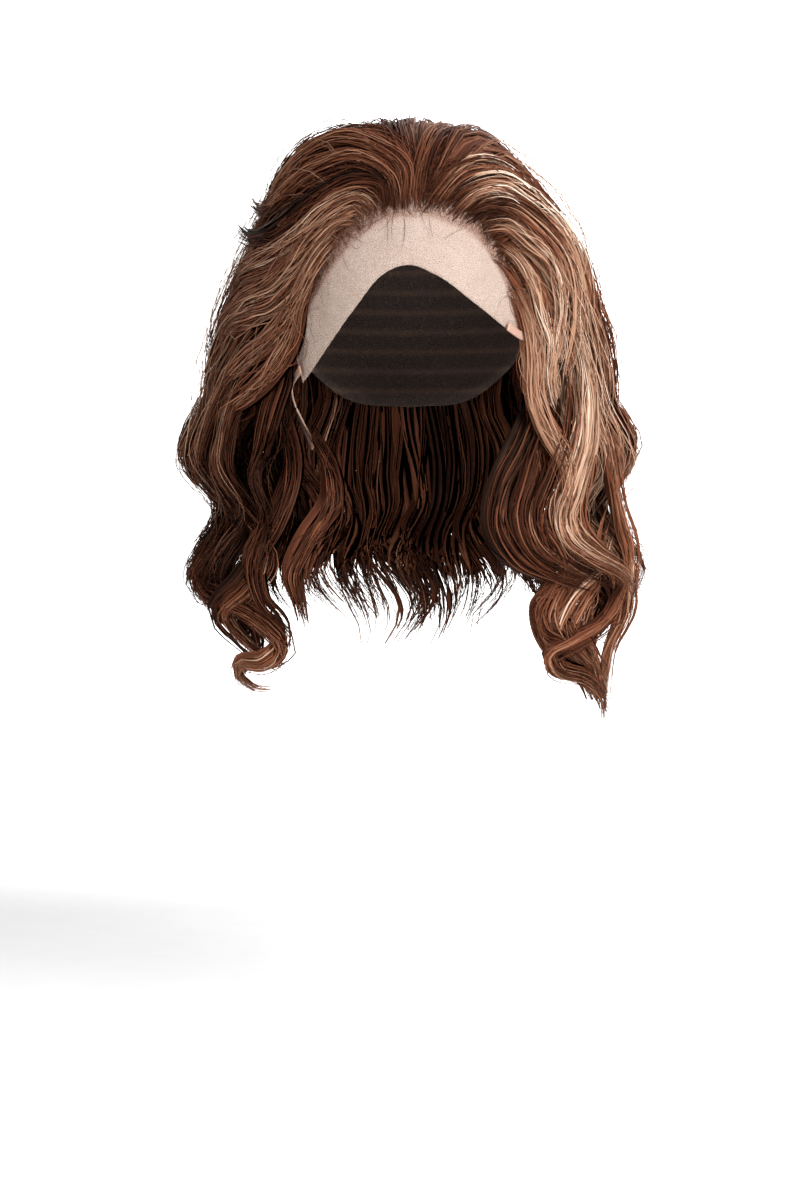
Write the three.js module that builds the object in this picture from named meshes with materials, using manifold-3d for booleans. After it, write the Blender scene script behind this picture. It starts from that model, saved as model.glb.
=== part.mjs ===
// A lace-front wig of loosely waved, shoulder-length hair: a net cap, a lace forehead panel, two ear tabs,
// and hair combed back from the hairline in locks that hang over the shoulders.
// Millimetres, +Z up, the face opening towards -Y. The origin is the crown of the cap's inside.
// Left and right are the wearer's: the wearer's left is +X.
import * as THREE from "three";
import { mergeVertices } from "three/addons/utils/BufferGeometryUtils.js";
import Module from "manifold-3d";

const wasm = await Module();
wasm.setup();

// The head that the cap is shaped on
const HEAD_HALF_WIDTH = 74;
const HEAD_HALF_DEPTH = 95;
const HEAD_CROWN = 95; // from the crown down to the widest level
const HEAD_TAPER = 0.28; // share of the girth lost at the bottom of the taper
const HEAD_TAPER_DROP = 75; // depth of the taper under the widest level

// Walls and clearances
const CAP_WALL = 1.2;
const LACE_WALL = 1;
const TAB_WALL = 1.2;
const MAT_WALL = 4.5; // the knotted roots that back each section of hair
const GAP = 0.35; // clearance between neighbouring pieces
const WELD = 1e-3;
const SEAM_GAP_DEG = 0.25; // the same clearance along the head, as an angle at its centre

// Facets
const CAP_SEGMENTS = 40;
const CAP_RINGS = 7;
const LACE_ROWS = 4;
const MAT_COLUMNS = 8;
const MAT_ROWS = 3;
const HEAD_RINGS = 14;
const HEAD_BOTTOM_DEG = 128; // how far down from the crown the head is kept clear of hair
const LOCK_SIDES = 6;
const LOCK_TURN = Math.PI / 6; // turns a flat face of the section outwards

// Lower edge of the cap by azimuth: the seam with the lace at the front, over the ears, then the nape
const CAP_RIM = [
  { azimuth: 0, z: -16 },
  { azimuth: 25, z: -24 },
  { azimuth: 45, z: -52 },
  { azimuth: 57, z: -84 },
  { azimuth: 66, z: -106 },
  { azimuth: 82, z: -109 },
  { azimuth: 102, z: -112 },
  { azimuth: 122, z: -130 },
  { azimuth: 142, z: -146 },
  { azimuth: 180, z: -152 },
];

// Free lower edge of the lace, which sits lower on the wearer's right
const LACE_EDGE = [
  { azimuth: -66, z: -142 },
  { azimuth: -53, z: -135 },
  { azimuth: -38, z: -121 },
  { azimuth: -24, z: -102 },
  { azimuth: -12, z: -84 },
  { azimuth: 0, z: -78 },
  { azimuth: 11, z: -83 },
  { azimuth: 30, z: -99 },
  { azimuth: 49, z: -112 },
  { azimuth: 66, z: -116 },
];
const LACE_SIDE = 63; // azimuth of the lace's two side edges, a whole number of the cap's segments
const LACE_COLUMNS = (2 * LACE_SIDE * CAP_SEGMENTS) / 360;

// Where the hair starts on the forehead and temples
const HAIRLINE = [
  { azimuth: -64, z: -118 },
  { azimuth: -55, z: -109 },
  { azimuth: -41, z: -86 },
  { azimuth: -28, z: -65 },
  { azimuth: -14, z: -52 },
  { azimuth: 0, z: -48 },
  { azimuth: 20, z: -52 },
  { azimuth: 35, z: -63 },
  { azimuth: 45, z: -82 },
  { azimuth: 54, z: -106 },
  { azimuth: 64, z: -114 },
];

// Ear tabs: narrow bands from the ends of the lace, as stations on the head and how far they stand off it
const TAB_WIDTH = 4.5;
const TAB_STEPS = 6;
const EAR_TABS = [
  {
    node: "ear_tab_left",
    stations: [
      { azimuth: 46, z: -110, stand: 2.2 },
      { azimuth: 56, z: -114.5, stand: 2.2 },
      { azimuth: 70, z: -115, stand: 2.2 },
      { azimuth: 88, z: -112, stand: 2.2 },
    ],
  },
  {
    node: "ear_tab_right",
    stations: [
      { azimuth: -58, z: -133, stand: 2.6 },
      { azimuth: -75, z: -143, stand: 3.5 },
      { azimuth: -80, z: -156, stand: 5 },
      { azimuth: -66, z: -177, stand: 14 },
    ],
  },
];

// Waves: the locks sway inwards at this level, and again every wavelength
const WAVE_LENGTH = 78;
const WAVE_INWARD_LEVEL = -214;
const WAVE_SWAY = 9;
const WAVE_ROLL = 5; // fore and aft, a quarter wave behind the sway
const WAVE_START = 0.4; // share of a lock's length where the wave begins
const WAVE_FULL = 0.62;
const SWAY_FADE = 45; // the sway dies away within this distance of the middle plane

// Sections of hair. Each row is a combed line: its root on the head, then the places where it crests,
// rounds the shoulder of the style, hangs free and ends. Locks are laid from the first row to the last.
const SECTIONS = [
  {
    node: "front_hair_right",
    locks: 7,
    rings: 11,
    thickness: 13,
    overlap: 1.2,
    mat: { from: -63, to: -0.6, hairline: true, depth: 26 },
    rows: [
      { azimuth: -1, crest: [-1, -28, 8], shoulder: [-5, 64, 11],
        hang: [-34, 117, -108], tip: [-36, 108, -310] },
      { azimuth: -8, crest: [-27, -26, 9], shoulder: [-64, 52, -1],
        hang: [-84, 99, -116], tip: [-86, 92, -304] },
      { azimuth: -16, crest: [-54, -36, -4], shoulder: [-89, 22, -33],
        hang: [-117, 56, -132], tip: [-114, 52, -298] },
      { azimuth: -26, crest: [-62, -55, -33], shoulder: [-101, 4, -68],
        hang: [-127, 32, -152], tip: [-113, 20, -303] },
      { azimuth: -36, crest: [-66, -60, -68], shoulder: [-107, -6, -97],
        hang: [-128, 10, -166], tip: [-108, -12, -306] },
      { azimuth: -45, crest: [-69, -58, -95], shoulder: [-101, -15, -123],
        hang: [-120, -15, -176], tip: [-95, -40, -309] },
      { azimuth: -54, crest: [-72, -52, -120], shoulder: [-92, -26, -143],
        hang: [-104, -35, -181], tip: [-75, -58, -299] },
    ],
  },
  {
    node: "front_hair_left",
    locks: 7,
    rings: 11,
    thickness: 13,
    overlap: 1.2,
    mat: { from: 0.6, to: 63, hairline: true, depth: 26 },
    rows: [
      { azimuth: 1, crest: [1, -28, 8], shoulder: [5, 64, 11],
        hang: [36, 117, -108], tip: [38, 108, -310] },
      { azimuth: 8, crest: [25, -25, 10], shoulder: [60, 56, 0],
        hang: [84, 100, -114], tip: [88, 93, -306] },
      { azimuth: 16, crest: [47, -36, -6], shoulder: [90, 23, -33],
        hang: [117, 57, -118], tip: [122, 52, -300] },
      { azimuth: 27, crest: [57, -55, -29], shoulder: [99, 5, -68],
        hang: [122, 33, -140], tip: [127, 20, -300] },
      { azimuth: 37, crest: [62, -60, -51], shoulder: [98, -5, -92],
        hang: [115, 10, -152], tip: [121, -12, -320] },
      { azimuth: 45, crest: [66, -58, -77], shoulder: [88, -15, -112],
        hang: [101, -15, -163], tip: [110, -40, -334] },
      { azimuth: 51, crest: [67, -52, -104], shoulder: [79, -28, -131],
        hang: [88, -35, -170], tip: [91, -52, -314] },
    ],
  },
  {
    node: "crown_hair",
    locks: 3,
    rings: 10,
    thickness: 14,
    overlap: 1.2,
    mat: { from: 112, to: 248, top: 8, bottom: 76 },
    rows: [
      { azimuth: -150, z: -8, crest: [-14, 70, 4], shoulder: [-30, 107, -42],
        hang: [-36, 122, -126], tip: [-38, 113, -314] },
      { azimuth: -180, z: -6, crest: [0, 70, 4], shoulder: [0, 111, -42],
        hang: [0, 125, -126], tip: [0, 116, -322] },
      { azimuth: -210, z: -8, crest: [14, 70, 4], shoulder: [30, 107, -42],
        hang: [36, 122, -126], tip: [38, 113, -314] },
    ],
  },
  {
    node: "side_hair_right",
    locks: 3,
    rings: 8,
    thickness: 15,
    overlap: 1.15,
    mat: { from: -122, to: -66, top: 78, rim: true },
    rows: [
      { azimuth: -66, z: -100, crest: [-78, -42, -134], shoulder: [-88, -38, -162],
        hang: [-95, -41, -196], tip: [-72, -58, -292] },
      { azimuth: -80, z: -98, crest: [-82, -18, -132], shoulder: [-88, -20, -166],
        hang: [-82, -32, -206], tip: [-64, -48, -286] },
      { azimuth: -98, z: -100, crest: [-81, 14, -134], shoulder: [-86, 10, -170],
        hang: [-70, -2, -208], tip: [-62, -22, -281] },
      { azimuth: -118, z: -112, crest: [-76, 44, -146], shoulder: [-79, 42, -178],
        hang: [-66, 30, -215], tip: [-58, 8, -274] },
    ],
  },
  {
    node: "side_hair_left",
    locks: 3,
    rings: 8,
    thickness: 15,
    overlap: 1.15,
    mat: { from: 66, to: 122, top: 78, rim: true },
    rows: [
      { azimuth: 66, z: -100, crest: [74, -42, -130], shoulder: [80, -40, -153],
        hang: [83, -43, -187], tip: [89, -57, -303] },
      { azimuth: 80, z: -98, crest: [80, -16, -130], shoulder: [81, -18, -160],
        hang: [71, -28, -207], tip: [85, -46, -283] },
      { azimuth: 98, z: -100, crest: [81, 14, -133], shoulder: [81, 10, -166],
        hang: [65, -2, -208], tip: [78, -22, -274] },
      { azimuth: 118, z: -112, crest: [76, 44, -146], shoulder: [77, 42, -176],
        hang: [60, 30, -215], tip: [64, 8, -268] },
    ],
  },
  {
    node: "back_hair",
    locks: 4,
    rings: 8,
    thickness: 15,
    overlap: 1.15,
    mat: { from: 126, to: 234, top: 80, rim: true },
    rows: [
      { azimuth: -130, z: -122, crest: [-64, 72, -146], shoulder: [-76, 76, -178],
        hang: [-74, 74, -215], tip: [-62, 62, -286] },
      { azimuth: -155, z: -118, crest: [-38, 98, -142], shoulder: [-42, 102, -175],
        hang: [-40, 100, -215], tip: [-36, 94, -302] },
      { azimuth: -205, z: -118, crest: [38, 98, -142], shoulder: [42, 102, -175],
        hang: [40, 100, -215], tip: [36, 94, -302] },
      { azimuth: -230, z: -122, crest: [64, 72, -146], shoulder: [76, 76, -178],
        hang: [74, 74, -215], tip: [62, 62, -286] },
    ],
  },
];

const STATIONS = ["root", "crest", "shoulder", "hang", "tip"];

// Form of a lock: shares of its full width and thickness at its ends, and shares of its length
const ROOT_WIDTH = 0.75;
const ROOT_THICKNESS = 0.45;
const ROOT_SWELL = 2; // how fast it swells from the root, per length
const TIP_WIDTH = 0.4;
const TIP_THICKNESS = 0.45;
const TIP_TAPER = 3; // how fast it thins to the tip, per length
const ROOT_SINK = 4; // how fast its middle sinks under the combed surface, per length, to half its thickness
const TIP_CROWDING = 0.4; // how much closer the rings stand towards the tip
const TANGENT_STEP = 0.01;
const OUTWARD_RISE = 0.3;
const MIN_LOCK_WIDTH = 9;

const HAIR = new THREE.MeshStandardMaterial({ color: 0x6b4430, roughness: 0.45, metalness: 0 });
const NET = new THREE.MeshStandardMaterial({ color: 0x2a1b15, roughness: 0.85, metalness: 0 });
const LACE = new THREE.MeshStandardMaterial({ color: 0xcfae93, roughness: 0.8, metalness: 0 });
const TAPE = new THREE.MeshStandardMaterial({ color: 0xd9b8a2, roughness: 0.8, metalness: 0 });

const radians = THREE.MathUtils.degToRad;
const arcPerDegree = radians(HEAD_CROWN);

// A smooth reading between the rows of a table, at a given azimuth
function zAt(rows, azimuth) {
  let i = rows.findIndex((row) => row.azimuth >= azimuth);
  i = i < 0 ? rows.length - 1 : Math.max(i, 1);
  const before = rows[Math.max(i - 2, 0)];
  const start = rows[i - 1];
  const end = rows[i];
  const after = rows[Math.min(i + 1, rows.length - 1)];
  const span = end.azimuth - start.azimuth;
  const s = THREE.MathUtils.clamp((azimuth - start.azimuth) / span, 0, 1);
  const slopeIn = (span * (end.z - before.z)) / (end.azimuth - before.azimuth);
  const slopeOut = (span * (after.z - start.z)) / (after.azimuth - start.azimuth);
  const ease = s * s * (3 - 2 * s);
  return start.z + (end.z - start.z) * ease
    + slopeIn * s * (1 - s) ** 2 - slopeOut * s * s * (1 - s);
}

// The head, grown outwards: a point by its azimuth from the front and its angle down from the crown
function headPoint(azimuth, angle, grow) {
  let girth = Math.sin(radians(angle));
  let z = (HEAD_CROWN + grow) * Math.cos(radians(angle)) - HEAD_CROWN;
  if (angle > 90) {
    const drop = (angle - 90) * arcPerDegree;
    girth = 1 - HEAD_TAPER * (drop / HEAD_TAPER_DROP) ** 2;
    z = -HEAD_CROWN - drop;
  }
  const turn = radians(azimuth);
  const x = (HEAD_HALF_WIDTH + grow) * girth * Math.sin(turn);
  const y = -(HEAD_HALF_DEPTH + grow) * girth * Math.cos(turn);
  return new THREE.Vector3(x, y, z);
}

// The angle down from the crown at a height on the head
function angleAt(z) {
  if (z < -HEAD_CROWN) {
    return 90 + (-HEAD_CROWN - z) / arcPerDegree;
  }
  return THREE.MathUtils.radToDeg(Math.acos((z + HEAD_CROWN) / HEAD_CROWN));
}

// Moves every vertex of a closed three.js shape to the place that a function gives, and welds its seams
function mould(geometry, place) {
  const position = geometry.attributes.position;
  const uv = geometry.attributes.uv;
  for (let i = 0; i < position.count; i += 1) {
    const at = place(new THREE.Vector3().fromBufferAttribute(position, i), uv.getX(i), uv.getY(i));
    position.setXYZ(i, at.x, at.y, at.z);
  }
  geometry.deleteAttribute("normal");
  geometry.deleteAttribute("uv");
  return mergeVertices(geometry, WELD);
}

function solidOf(geometry) {
  const triVerts = new Uint32Array(geometry.index.array);
  const vertProperties = new Float32Array(geometry.attributes.position.array);
  const solid = new wasm.Manifold(new wasm.Mesh({ numProp: 3, vertProperties, triVerts }));
  if (solid.volume() > 0) {
    return solid;
  }
  for (let i = 0; i < triVerts.length; i += 3) {
    [triVerts[i], triVerts[i + 1]] = [triVerts[i + 1], triVerts[i]];
  }
  return new wasm.Manifold(new wasm.Mesh({ numProp: 3, vertProperties, triVerts }));
}

function meshOf(node, solid, material) {
  const { vertProperties, triVerts } = solid.getMesh();
  const geometry = new THREE.BufferGeometry();
  geometry.setAttribute("position", new THREE.BufferAttribute(new Float32Array(vertProperties), 3));
  geometry.setIndex(new THREE.BufferAttribute(new Uint32Array(triVerts), 1));
  geometry.computeVertexNormals();
  const mesh = new THREE.Mesh(geometry, material);
  mesh.name = node;
  return mesh;
}

// The cap's lower edge, the same on both sides, as an angle down from the crown
function capRim(azimuth) {
  const fromFront = Math.abs(THREE.MathUtils.euclideanModulo(azimuth + 180, 360) - 180);
  return angleAt(zAt(CAP_RIM, fromFront));
}

// A curved panel of even thickness on the head, between two azimuths and two angle lines
function panel(from, to, topLine, bottomLine, inner, outer, columns, rows) {
  const box = new THREE.BoxGeometry(1, 1, 1, columns, rows, 1);
  return solidOf(mould(box, (p) => {
    const azimuth = THREE.MathUtils.lerp(from, to, p.x + 0.5);
    const angle = THREE.MathUtils.lerp(bottomLine(azimuth), topLine(azimuth), p.y + 0.5);
    return headPoint(azimuth, angle, p.z > 0 ? outer : inner);
  }));
}

// Cap: a dome whose outer skin runs from the crown to the rim and whose inner skin runs back
function capSolid() {
  const dome = new THREE.SphereGeometry(1, CAP_SEGMENTS, 2 * CAP_RINGS + 1);
  const rings = 2 * CAP_RINGS + 1;
  return solidOf(mould(dome, (p, u, v) => {
    const ring = Math.round((1 - v) * rings);
    const outside = ring <= CAP_RINGS;
    const share = outside ? ring / CAP_RINGS : (rings - ring) / CAP_RINGS;
    const azimuth = share === 0 ? 0 : u * 360 - 180;
    return headPoint(azimuth, share * capRim(azimuth), outside ? CAP_WALL : 0);
  }));
}

function laceSolid() {
  const seam = (azimuth) => capRim(azimuth) + SEAM_GAP_DEG;
  const edge = (azimuth) => angleAt(zAt(LACE_EDGE, azimuth));
  return panel(-LACE_SIDE, LACE_SIDE, seam, edge, 0, LACE_WALL, LACE_COLUMNS, LACE_ROWS);
}

// Ear tab: a flat band along a curve, its face turned outwards from the head
function tabSolid(stations, grow) {
  const route = new THREE.CatmullRomCurve3(
    stations.map(({ azimuth, z, stand }) => headPoint(azimuth, angleAt(z), stand)),
  );
  const band = new THREE.BoxGeometry(1, 1, 1, TAB_STEPS, 1, 1);
  return solidOf(mould(band, (p) => {
    const centre = route.getPointAt(p.x + 0.5);
    const along = route.getTangentAt(p.x + 0.5);
    const outward = new THREE.Vector3(centre.x, centre.y, 0);
    outward.addScaledVector(along, -outward.dot(along)).normalize();
    const across = new THREE.Vector3().crossVectors(outward, along);
    centre.addScaledVector(along, 2 * p.x * grow);
    centre.addScaledVector(across, p.y * (TAB_WIDTH + 2 * grow));
    return centre.addScaledVector(outward, p.z * (TAB_WALL + 2 * grow));
  }));
}

// The space that the head and cap take up, which no hair enters
function headSolid(grow) {
  const form = new THREE.SphereGeometry(1, CAP_SEGMENTS, HEAD_RINGS);
  return solidOf(mould(form, (p, u, v) => {
    const ring = Math.round((1 - v) * HEAD_RINGS);
    const last = ring === HEAD_RINGS;
    const angle = (HEAD_BOTTOM_DEG * Math.min(ring, HEAD_RINGS - 1)) / (HEAD_RINGS - 1);
    const at = headPoint(u * 360 - 180, angle, grow);
    return last || ring === 0 ? new THREE.Vector3(0, 0, at.z) : at;
  }));
}

// A section's combed surface: the curves that join the same station of all its rows
function combedSurface(section) {
  const across = STATIONS.map((station) => new THREE.CatmullRomCurve3(section.rows.map((row) => {
    if (station !== "root") {
      return new THREE.Vector3(...row[station]);
    }
    const z = row.z ?? zAt(HAIRLINE, row.azimuth);
    return headPoint(row.azimuth, angleAt(z), CAP_WALL + GAP + MAT_WALL / 2);
  })));
  return (u, t) => {
    const share = THREE.MathUtils.clamp(u, 0, 1);
    const line = new THREE.CatmullRomCurve3(across.map((curve) => curve.getPoint(share)));
    return wave(line.getPointAt(t), t);
  };
}

function wave(point, t) {
  const strength = THREE.MathUtils.smoothstep(t, WAVE_START, WAVE_FULL);
  const phase = (2 * Math.PI * (point.z - WAVE_INWARD_LEVEL)) / WAVE_LENGTH;
  const side = THREE.MathUtils.clamp(point.x / SWAY_FADE, -1, 1);
  point.x -= side * strength * WAVE_SWAY * Math.cos(phase);
  point.y += strength * WAVE_ROLL * Math.sin(phase);
  return point;
}

// Which way is out of the hair at a point: away from the head's upright axis, and a little from its middle
function outwardAt(point) {
  return new THREE.Vector3(point.x, point.y, OUTWARD_RISE * (point.z + HEAD_CROWN));
}

// Rings stand closer together towards the tip, where the lock waves
const ringShare = (share) => share * (1 + TIP_CROWDING * (1 - share));

// One lock: a capped tube of oval section, wide across the combed surface, its outer face on that surface
function lockSolid(section, surface, index, grow) {
  const step = 1 / section.locks;
  const u = (index + 0.5) * step;
  const rings = [];
  for (let ring = 0; ring <= section.rings; ring += 1) {
    const t = ringShare(ring / section.rings);
    const before = surface(u, Math.max(t - TANGENT_STEP, 0));
    const along = surface(u, Math.min(t + TANGENT_STEP, 1)).sub(before).normalize();
    const across = surface(u + step / 2, t).sub(surface(u - step / 2, t));
    across.addScaledVector(along, -across.dot(along));
    const width = Math.max(across.length() * section.overlap, MIN_LOCK_WIDTH);
    across.normalize();
    const swell = ROOT_SWELL * t;
    const taper = TIP_TAPER * (1 - t);
    const halfWidth = (width * Math.min(ROOT_WIDTH + swell, 1, TIP_WIDTH + taper)) / 2;
    const halfThick = (section.thickness * Math.min(ROOT_THICKNESS + swell, 1, TIP_THICKNESS + taper)) / 2;
    const inward = new THREE.Vector3().crossVectors(along, across).normalize();
    const centre = surface(u, t);
    if (inward.dot(outwardAt(centre)) > 0) {
      inward.negate();
    }
    centre.addScaledVector(inward, halfThick * Math.min(2 * ROOT_SINK * t, 1));
    rings.push({ centre, across, inward, halfWidth: halfWidth + grow, halfThick: halfThick + grow });
  }
  const tube = new THREE.CylinderGeometry(1, 1, 1, LOCK_SIDES, section.rings, false, LOCK_TURN);
  return solidOf(mould(tube, (p) => {
    const { centre, across, inward, halfWidth, halfThick } = rings[Math.round((0.5 - p.y) * section.rings)];
    return centre.clone().addScaledVector(across, p.x * halfWidth).addScaledVector(inward, p.z * halfThick);
  }));
}

function matSolid({ from, to, hairline, depth, top, bottom, rim }, grow) {
  const floor = CAP_WALL - grow;
  const topLine = (azimuth) => (hairline ? angleAt(zAt(HAIRLINE, azimuth)) - depth : top) - grow;
  const bottomLine = (azimuth) => {
    const end = hairline ? angleAt(zAt(HAIRLINE, azimuth)) : rim ? capRim(azimuth) : bottom;
    return end + grow;
  };
  const roof = CAP_WALL + GAP + MAT_WALL + grow;
  return panel(from - grow, to + grow, topLine, bottomLine, floor, roof, MAT_COLUMNS, MAT_ROWS);
}

// A section: its mat and locks fused, grown all round by a clearance where it is used as a cutter
function sectionSolid(section, grow) {
  const surface = combedSurface(section);
  let solid = matSolid(section.mat, grow);
  for (let index = 0; index < section.locks; index += 1) {
    solid = solid.add(lockSolid(section, surface, index, grow));
  }
  return solid;
}

function largest(solid) {
  const bodies = solid.decompose();
  bodies.sort((a, b) => b.volume() - a.volume());
  return bodies[0];
}

const group = new THREE.Group();
group.add(meshOf("cap", capSolid(), NET));
group.add(meshOf("lace_front", laceSolid(), LACE));
let taken = headSolid(CAP_WALL + 2 * GAP);
for (const { node, stations } of EAR_TABS) {
  group.add(meshOf(node, tabSolid(stations, 0), TAPE));
  taken = taken.add(tabSolid(stations, GAP));
}

for (const section of SECTIONS) {
  const solid = largest(sectionSolid(section, 0).subtract(taken));
  group.add(meshOf(section.node, solid, HAIR));
  taken = taken.add(sectionSolid(section, GAP));
}

export default group;
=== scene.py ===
# %% [markdown]
# # A lace-front wig of loosely waved hair
# The wig has three kinds of cloth and one of hair: a stretch net cap, a sheer lace
# panel over the forehead, a tape tab before each ear, and long brown hair with
# caramel lights. This lesson opens the shared frame, models the cloth with mesh
# operators, then combs the hair: sheets give the flow, locks follow the sheets, and
# wisps and single strands follow the locks.

# %% Open the shared frame
import bmesh
import bpy
import numpy as np
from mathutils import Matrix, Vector


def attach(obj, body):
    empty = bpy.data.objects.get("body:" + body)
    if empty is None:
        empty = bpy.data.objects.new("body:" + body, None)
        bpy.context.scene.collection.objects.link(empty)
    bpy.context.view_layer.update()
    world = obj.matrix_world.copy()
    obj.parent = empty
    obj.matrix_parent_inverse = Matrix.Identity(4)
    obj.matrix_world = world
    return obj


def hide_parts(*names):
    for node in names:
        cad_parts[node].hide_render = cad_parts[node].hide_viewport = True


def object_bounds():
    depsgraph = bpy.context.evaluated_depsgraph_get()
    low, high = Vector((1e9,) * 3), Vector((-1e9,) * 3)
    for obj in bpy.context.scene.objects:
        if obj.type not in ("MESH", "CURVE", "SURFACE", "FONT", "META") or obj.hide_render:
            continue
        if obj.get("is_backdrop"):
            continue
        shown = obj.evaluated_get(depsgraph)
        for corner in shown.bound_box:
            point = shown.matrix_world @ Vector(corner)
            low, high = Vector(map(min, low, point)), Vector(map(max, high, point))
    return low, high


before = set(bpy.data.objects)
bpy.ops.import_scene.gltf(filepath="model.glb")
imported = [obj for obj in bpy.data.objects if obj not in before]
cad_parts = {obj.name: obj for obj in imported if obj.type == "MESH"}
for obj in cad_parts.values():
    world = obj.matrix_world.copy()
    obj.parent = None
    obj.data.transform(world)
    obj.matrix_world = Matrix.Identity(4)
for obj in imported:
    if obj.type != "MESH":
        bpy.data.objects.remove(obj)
solid_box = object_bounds()
print("solids of the frame:", sorted(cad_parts))

# %% [markdown]
# The form inside the cap is the one shape that everything shares: the cloth is wrapped
# on it, and the hair grows from it. The upper half is part of an ellipsoid, and the
# lower half narrows slowly towards the nape. It could be a mesh to snap to, but a
# formula gives any point at once. A place on it is an azimuth (0 is the middle of the
# front, positive to the wearer's left) and an angle down from the crown.

# %% The form inside the cap
MM = 0.001
FORM_HALF_WIDTH = 74 * MM
FORM_HALF_DEPTH = 95 * MM
FORM_CROWN = 95 * MM
FORM_TAPER = 0.28
FORM_TAPER_DROP = 75 * MM


def form_point(azimuth, angle, grow):
    """Points on the form, raised by grow; azimuth and angle are in degrees."""
    turn, down = np.radians(azimuth), np.radians(angle)
    drop = np.maximum(down - np.pi / 2, 0) * FORM_CROWN
    low = drop > 0
    girth = np.where(low, 1 - FORM_TAPER * (drop / FORM_TAPER_DROP) ** 2, np.sin(down))
    z = np.where(low, -FORM_CROWN - drop, (FORM_CROWN + grow) * np.cos(down) - FORM_CROWN)
    x = (FORM_HALF_WIDTH + grow) * girth * np.sin(turn)
    y = -(FORM_HALF_DEPTH + grow) * girth * np.cos(turn)
    return np.stack(np.broadcast_arrays(x, y, z), -1)


def angle_at(z):
    """The angle down from the crown at which the form reaches the level z."""
    level = np.asarray(z, float) + FORM_CROWN
    upper = np.degrees(np.arccos(np.clip(level / FORM_CROWN, -1, 1)))
    return np.where(level >= 0, upper, 90 + np.degrees(-level / FORM_CROWN))


mean_radius = np.hypot(FORM_HALF_WIDTH, FORM_HALF_DEPTH) / 2**0.5
print("girth of the form: about", round(2 * np.pi * mean_radius / MM), "mm")

# %% [markdown]
# Materials are small node graphs. Writing each node by hand would bury the idea
# under bookkeeping, so one class wraps an output socket: plain arithmetic on it adds
# Math nodes, and one method adds any other node.

# %% A socket that does arithmetic


class Link:
    """An output of a node. Arithmetic on it adds Math nodes to the same tree."""

    def __init__(self, tree, output=None):
        self.tree, self.output = tree, output

    def node(self, kind, settings=(), inputs=(), output=0):
        """Adds a node: its settings first, then its inputs, by name or number."""
        made = self.tree.nodes.new("ShaderNode" + kind)
        for name, value in dict(settings).items():
            if name == "stops":
                self.set_stops(made.color_ramp.elements, value)
            else:
                setattr(made, name, value)
        for name, value in dict(inputs).items():
            if isinstance(value, Link):
                self.tree.links.new(value.output, made.inputs[name])
            else:
                made.inputs[name].default_value = value
        return Link(self.tree, made.outputs[output])

    @staticmethod
    def set_stops(elements, stops):
        """Gives a new ramp its stops, from the lowest to the highest."""
        for i, (place, colour) in enumerate(stops):
            element = elements[i] if i < len(elements) else elements.new(place)
            element.position, element.color = place, colour

    def math(self, operation, *values):
        return self.node("Math", {"operation": operation}, enumerate(values))

    def mix(self, low, high):
        """A colour from low to high, as this value goes from 0 to 1."""
        return self.node("Mix", {"data_type": "RGBA"}, {0: self, 6: low, 7: high}, 2)

    def noise(self, scale, detail=2.0):
        """Soft noise, read at this place."""
        return self.node("TexNoise", inputs={"Vector": self, "Scale": scale, "Detail": detail})

    def bump(self, strength, distance):
        """A normal that rises and falls with this value."""
        return self.node("Bump", inputs={"Strength": strength, "Distance": distance, "Height": self})

    def __add__(self, other):
        return self.math("ADD", self, other)

    def __sub__(self, other):
        return self.math("SUBTRACT", self, other)

    def __rsub__(self, other):
        return self.math("SUBTRACT", other, self)

    def __mul__(self, other):
        return self.math("MULTIPLY", self, other)

    __radd__, __rmul__ = __add__, __mul__


def new_material(name, **constants):
    """A material, a link to start its graph from, and a way to feed its shader."""
    made = bpy.data.materials.new(name)
    made.use_nodes = True
    shader = made.node_tree.nodes["Principled BSDF"]
    for socket, value in constants.items():
        shader.inputs[socket.replace("_", " ")].default_value = value

    def feed(socket, link):
        made.node_tree.links.new(link.output, shader.inputs[socket])

    return made, Link(made.node_tree), feed


def rgb(red, green, blue):
    """A colour as it is seen on a screen (0 to 255), as the linear values that light uses."""
    seen = np.array([red, green, blue]) / 255
    linear = np.where(seen <= 0.04045, seen / 12.92, ((seen + 0.055) / 1.055) ** 2.4)
    return (*(float(c) for c in linear), 1.0)


# %% [markdown]
# Every piece ends in the same way. Its mesh becomes an object at the origin, it gets
# its finish in a material slot, and it rides on the frame's one body. A piece that
# dresses a solid hides the solid that it replaces.

# %% Pieces on the frame


def mesh_of(name, bm):
    """The mesh of a bmesh, which is let go."""
    mesh = bpy.data.meshes.new(name)
    bm.to_mesh(mesh)
    bm.free()
    return mesh


def add_object(mesh, finish):
    """An object of a mesh with its finish, linked to the scene."""
    mesh.materials.append(finish)
    made = bpy.data.objects.new(mesh.name, mesh)
    bpy.context.scene.collection.objects.link(made)
    return made


def settle(piece, node=None):
    """Smooths a piece and lets it ride on the frame, in the place of a solid if it has one."""
    piece.data.polygons.foreach_set("use_smooth", [True] * len(piece.data.polygons))
    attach(piece, "root")
    if node:
        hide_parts(node)
    return piece


def area_of(piece):
    """The area of one side of a thin closed piece, in square metres."""
    return sum(face.area for face in piece.data.polygons) / 2


# %% [markdown]
# The cap is a dome of dark stretch net with rows of weft tape sewn round it. It could
# be a sphere cut open below, but a flat grid wrapped on the form follows the rim by
# itself: one direction becomes the azimuth and the other the way down from the crown to
# the rim, which is high at the front, dips behind the ears and is lowest at the nape.
# Solidify gives it the thickness of cloth.

# %% Cloth wrapped on the form


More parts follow.
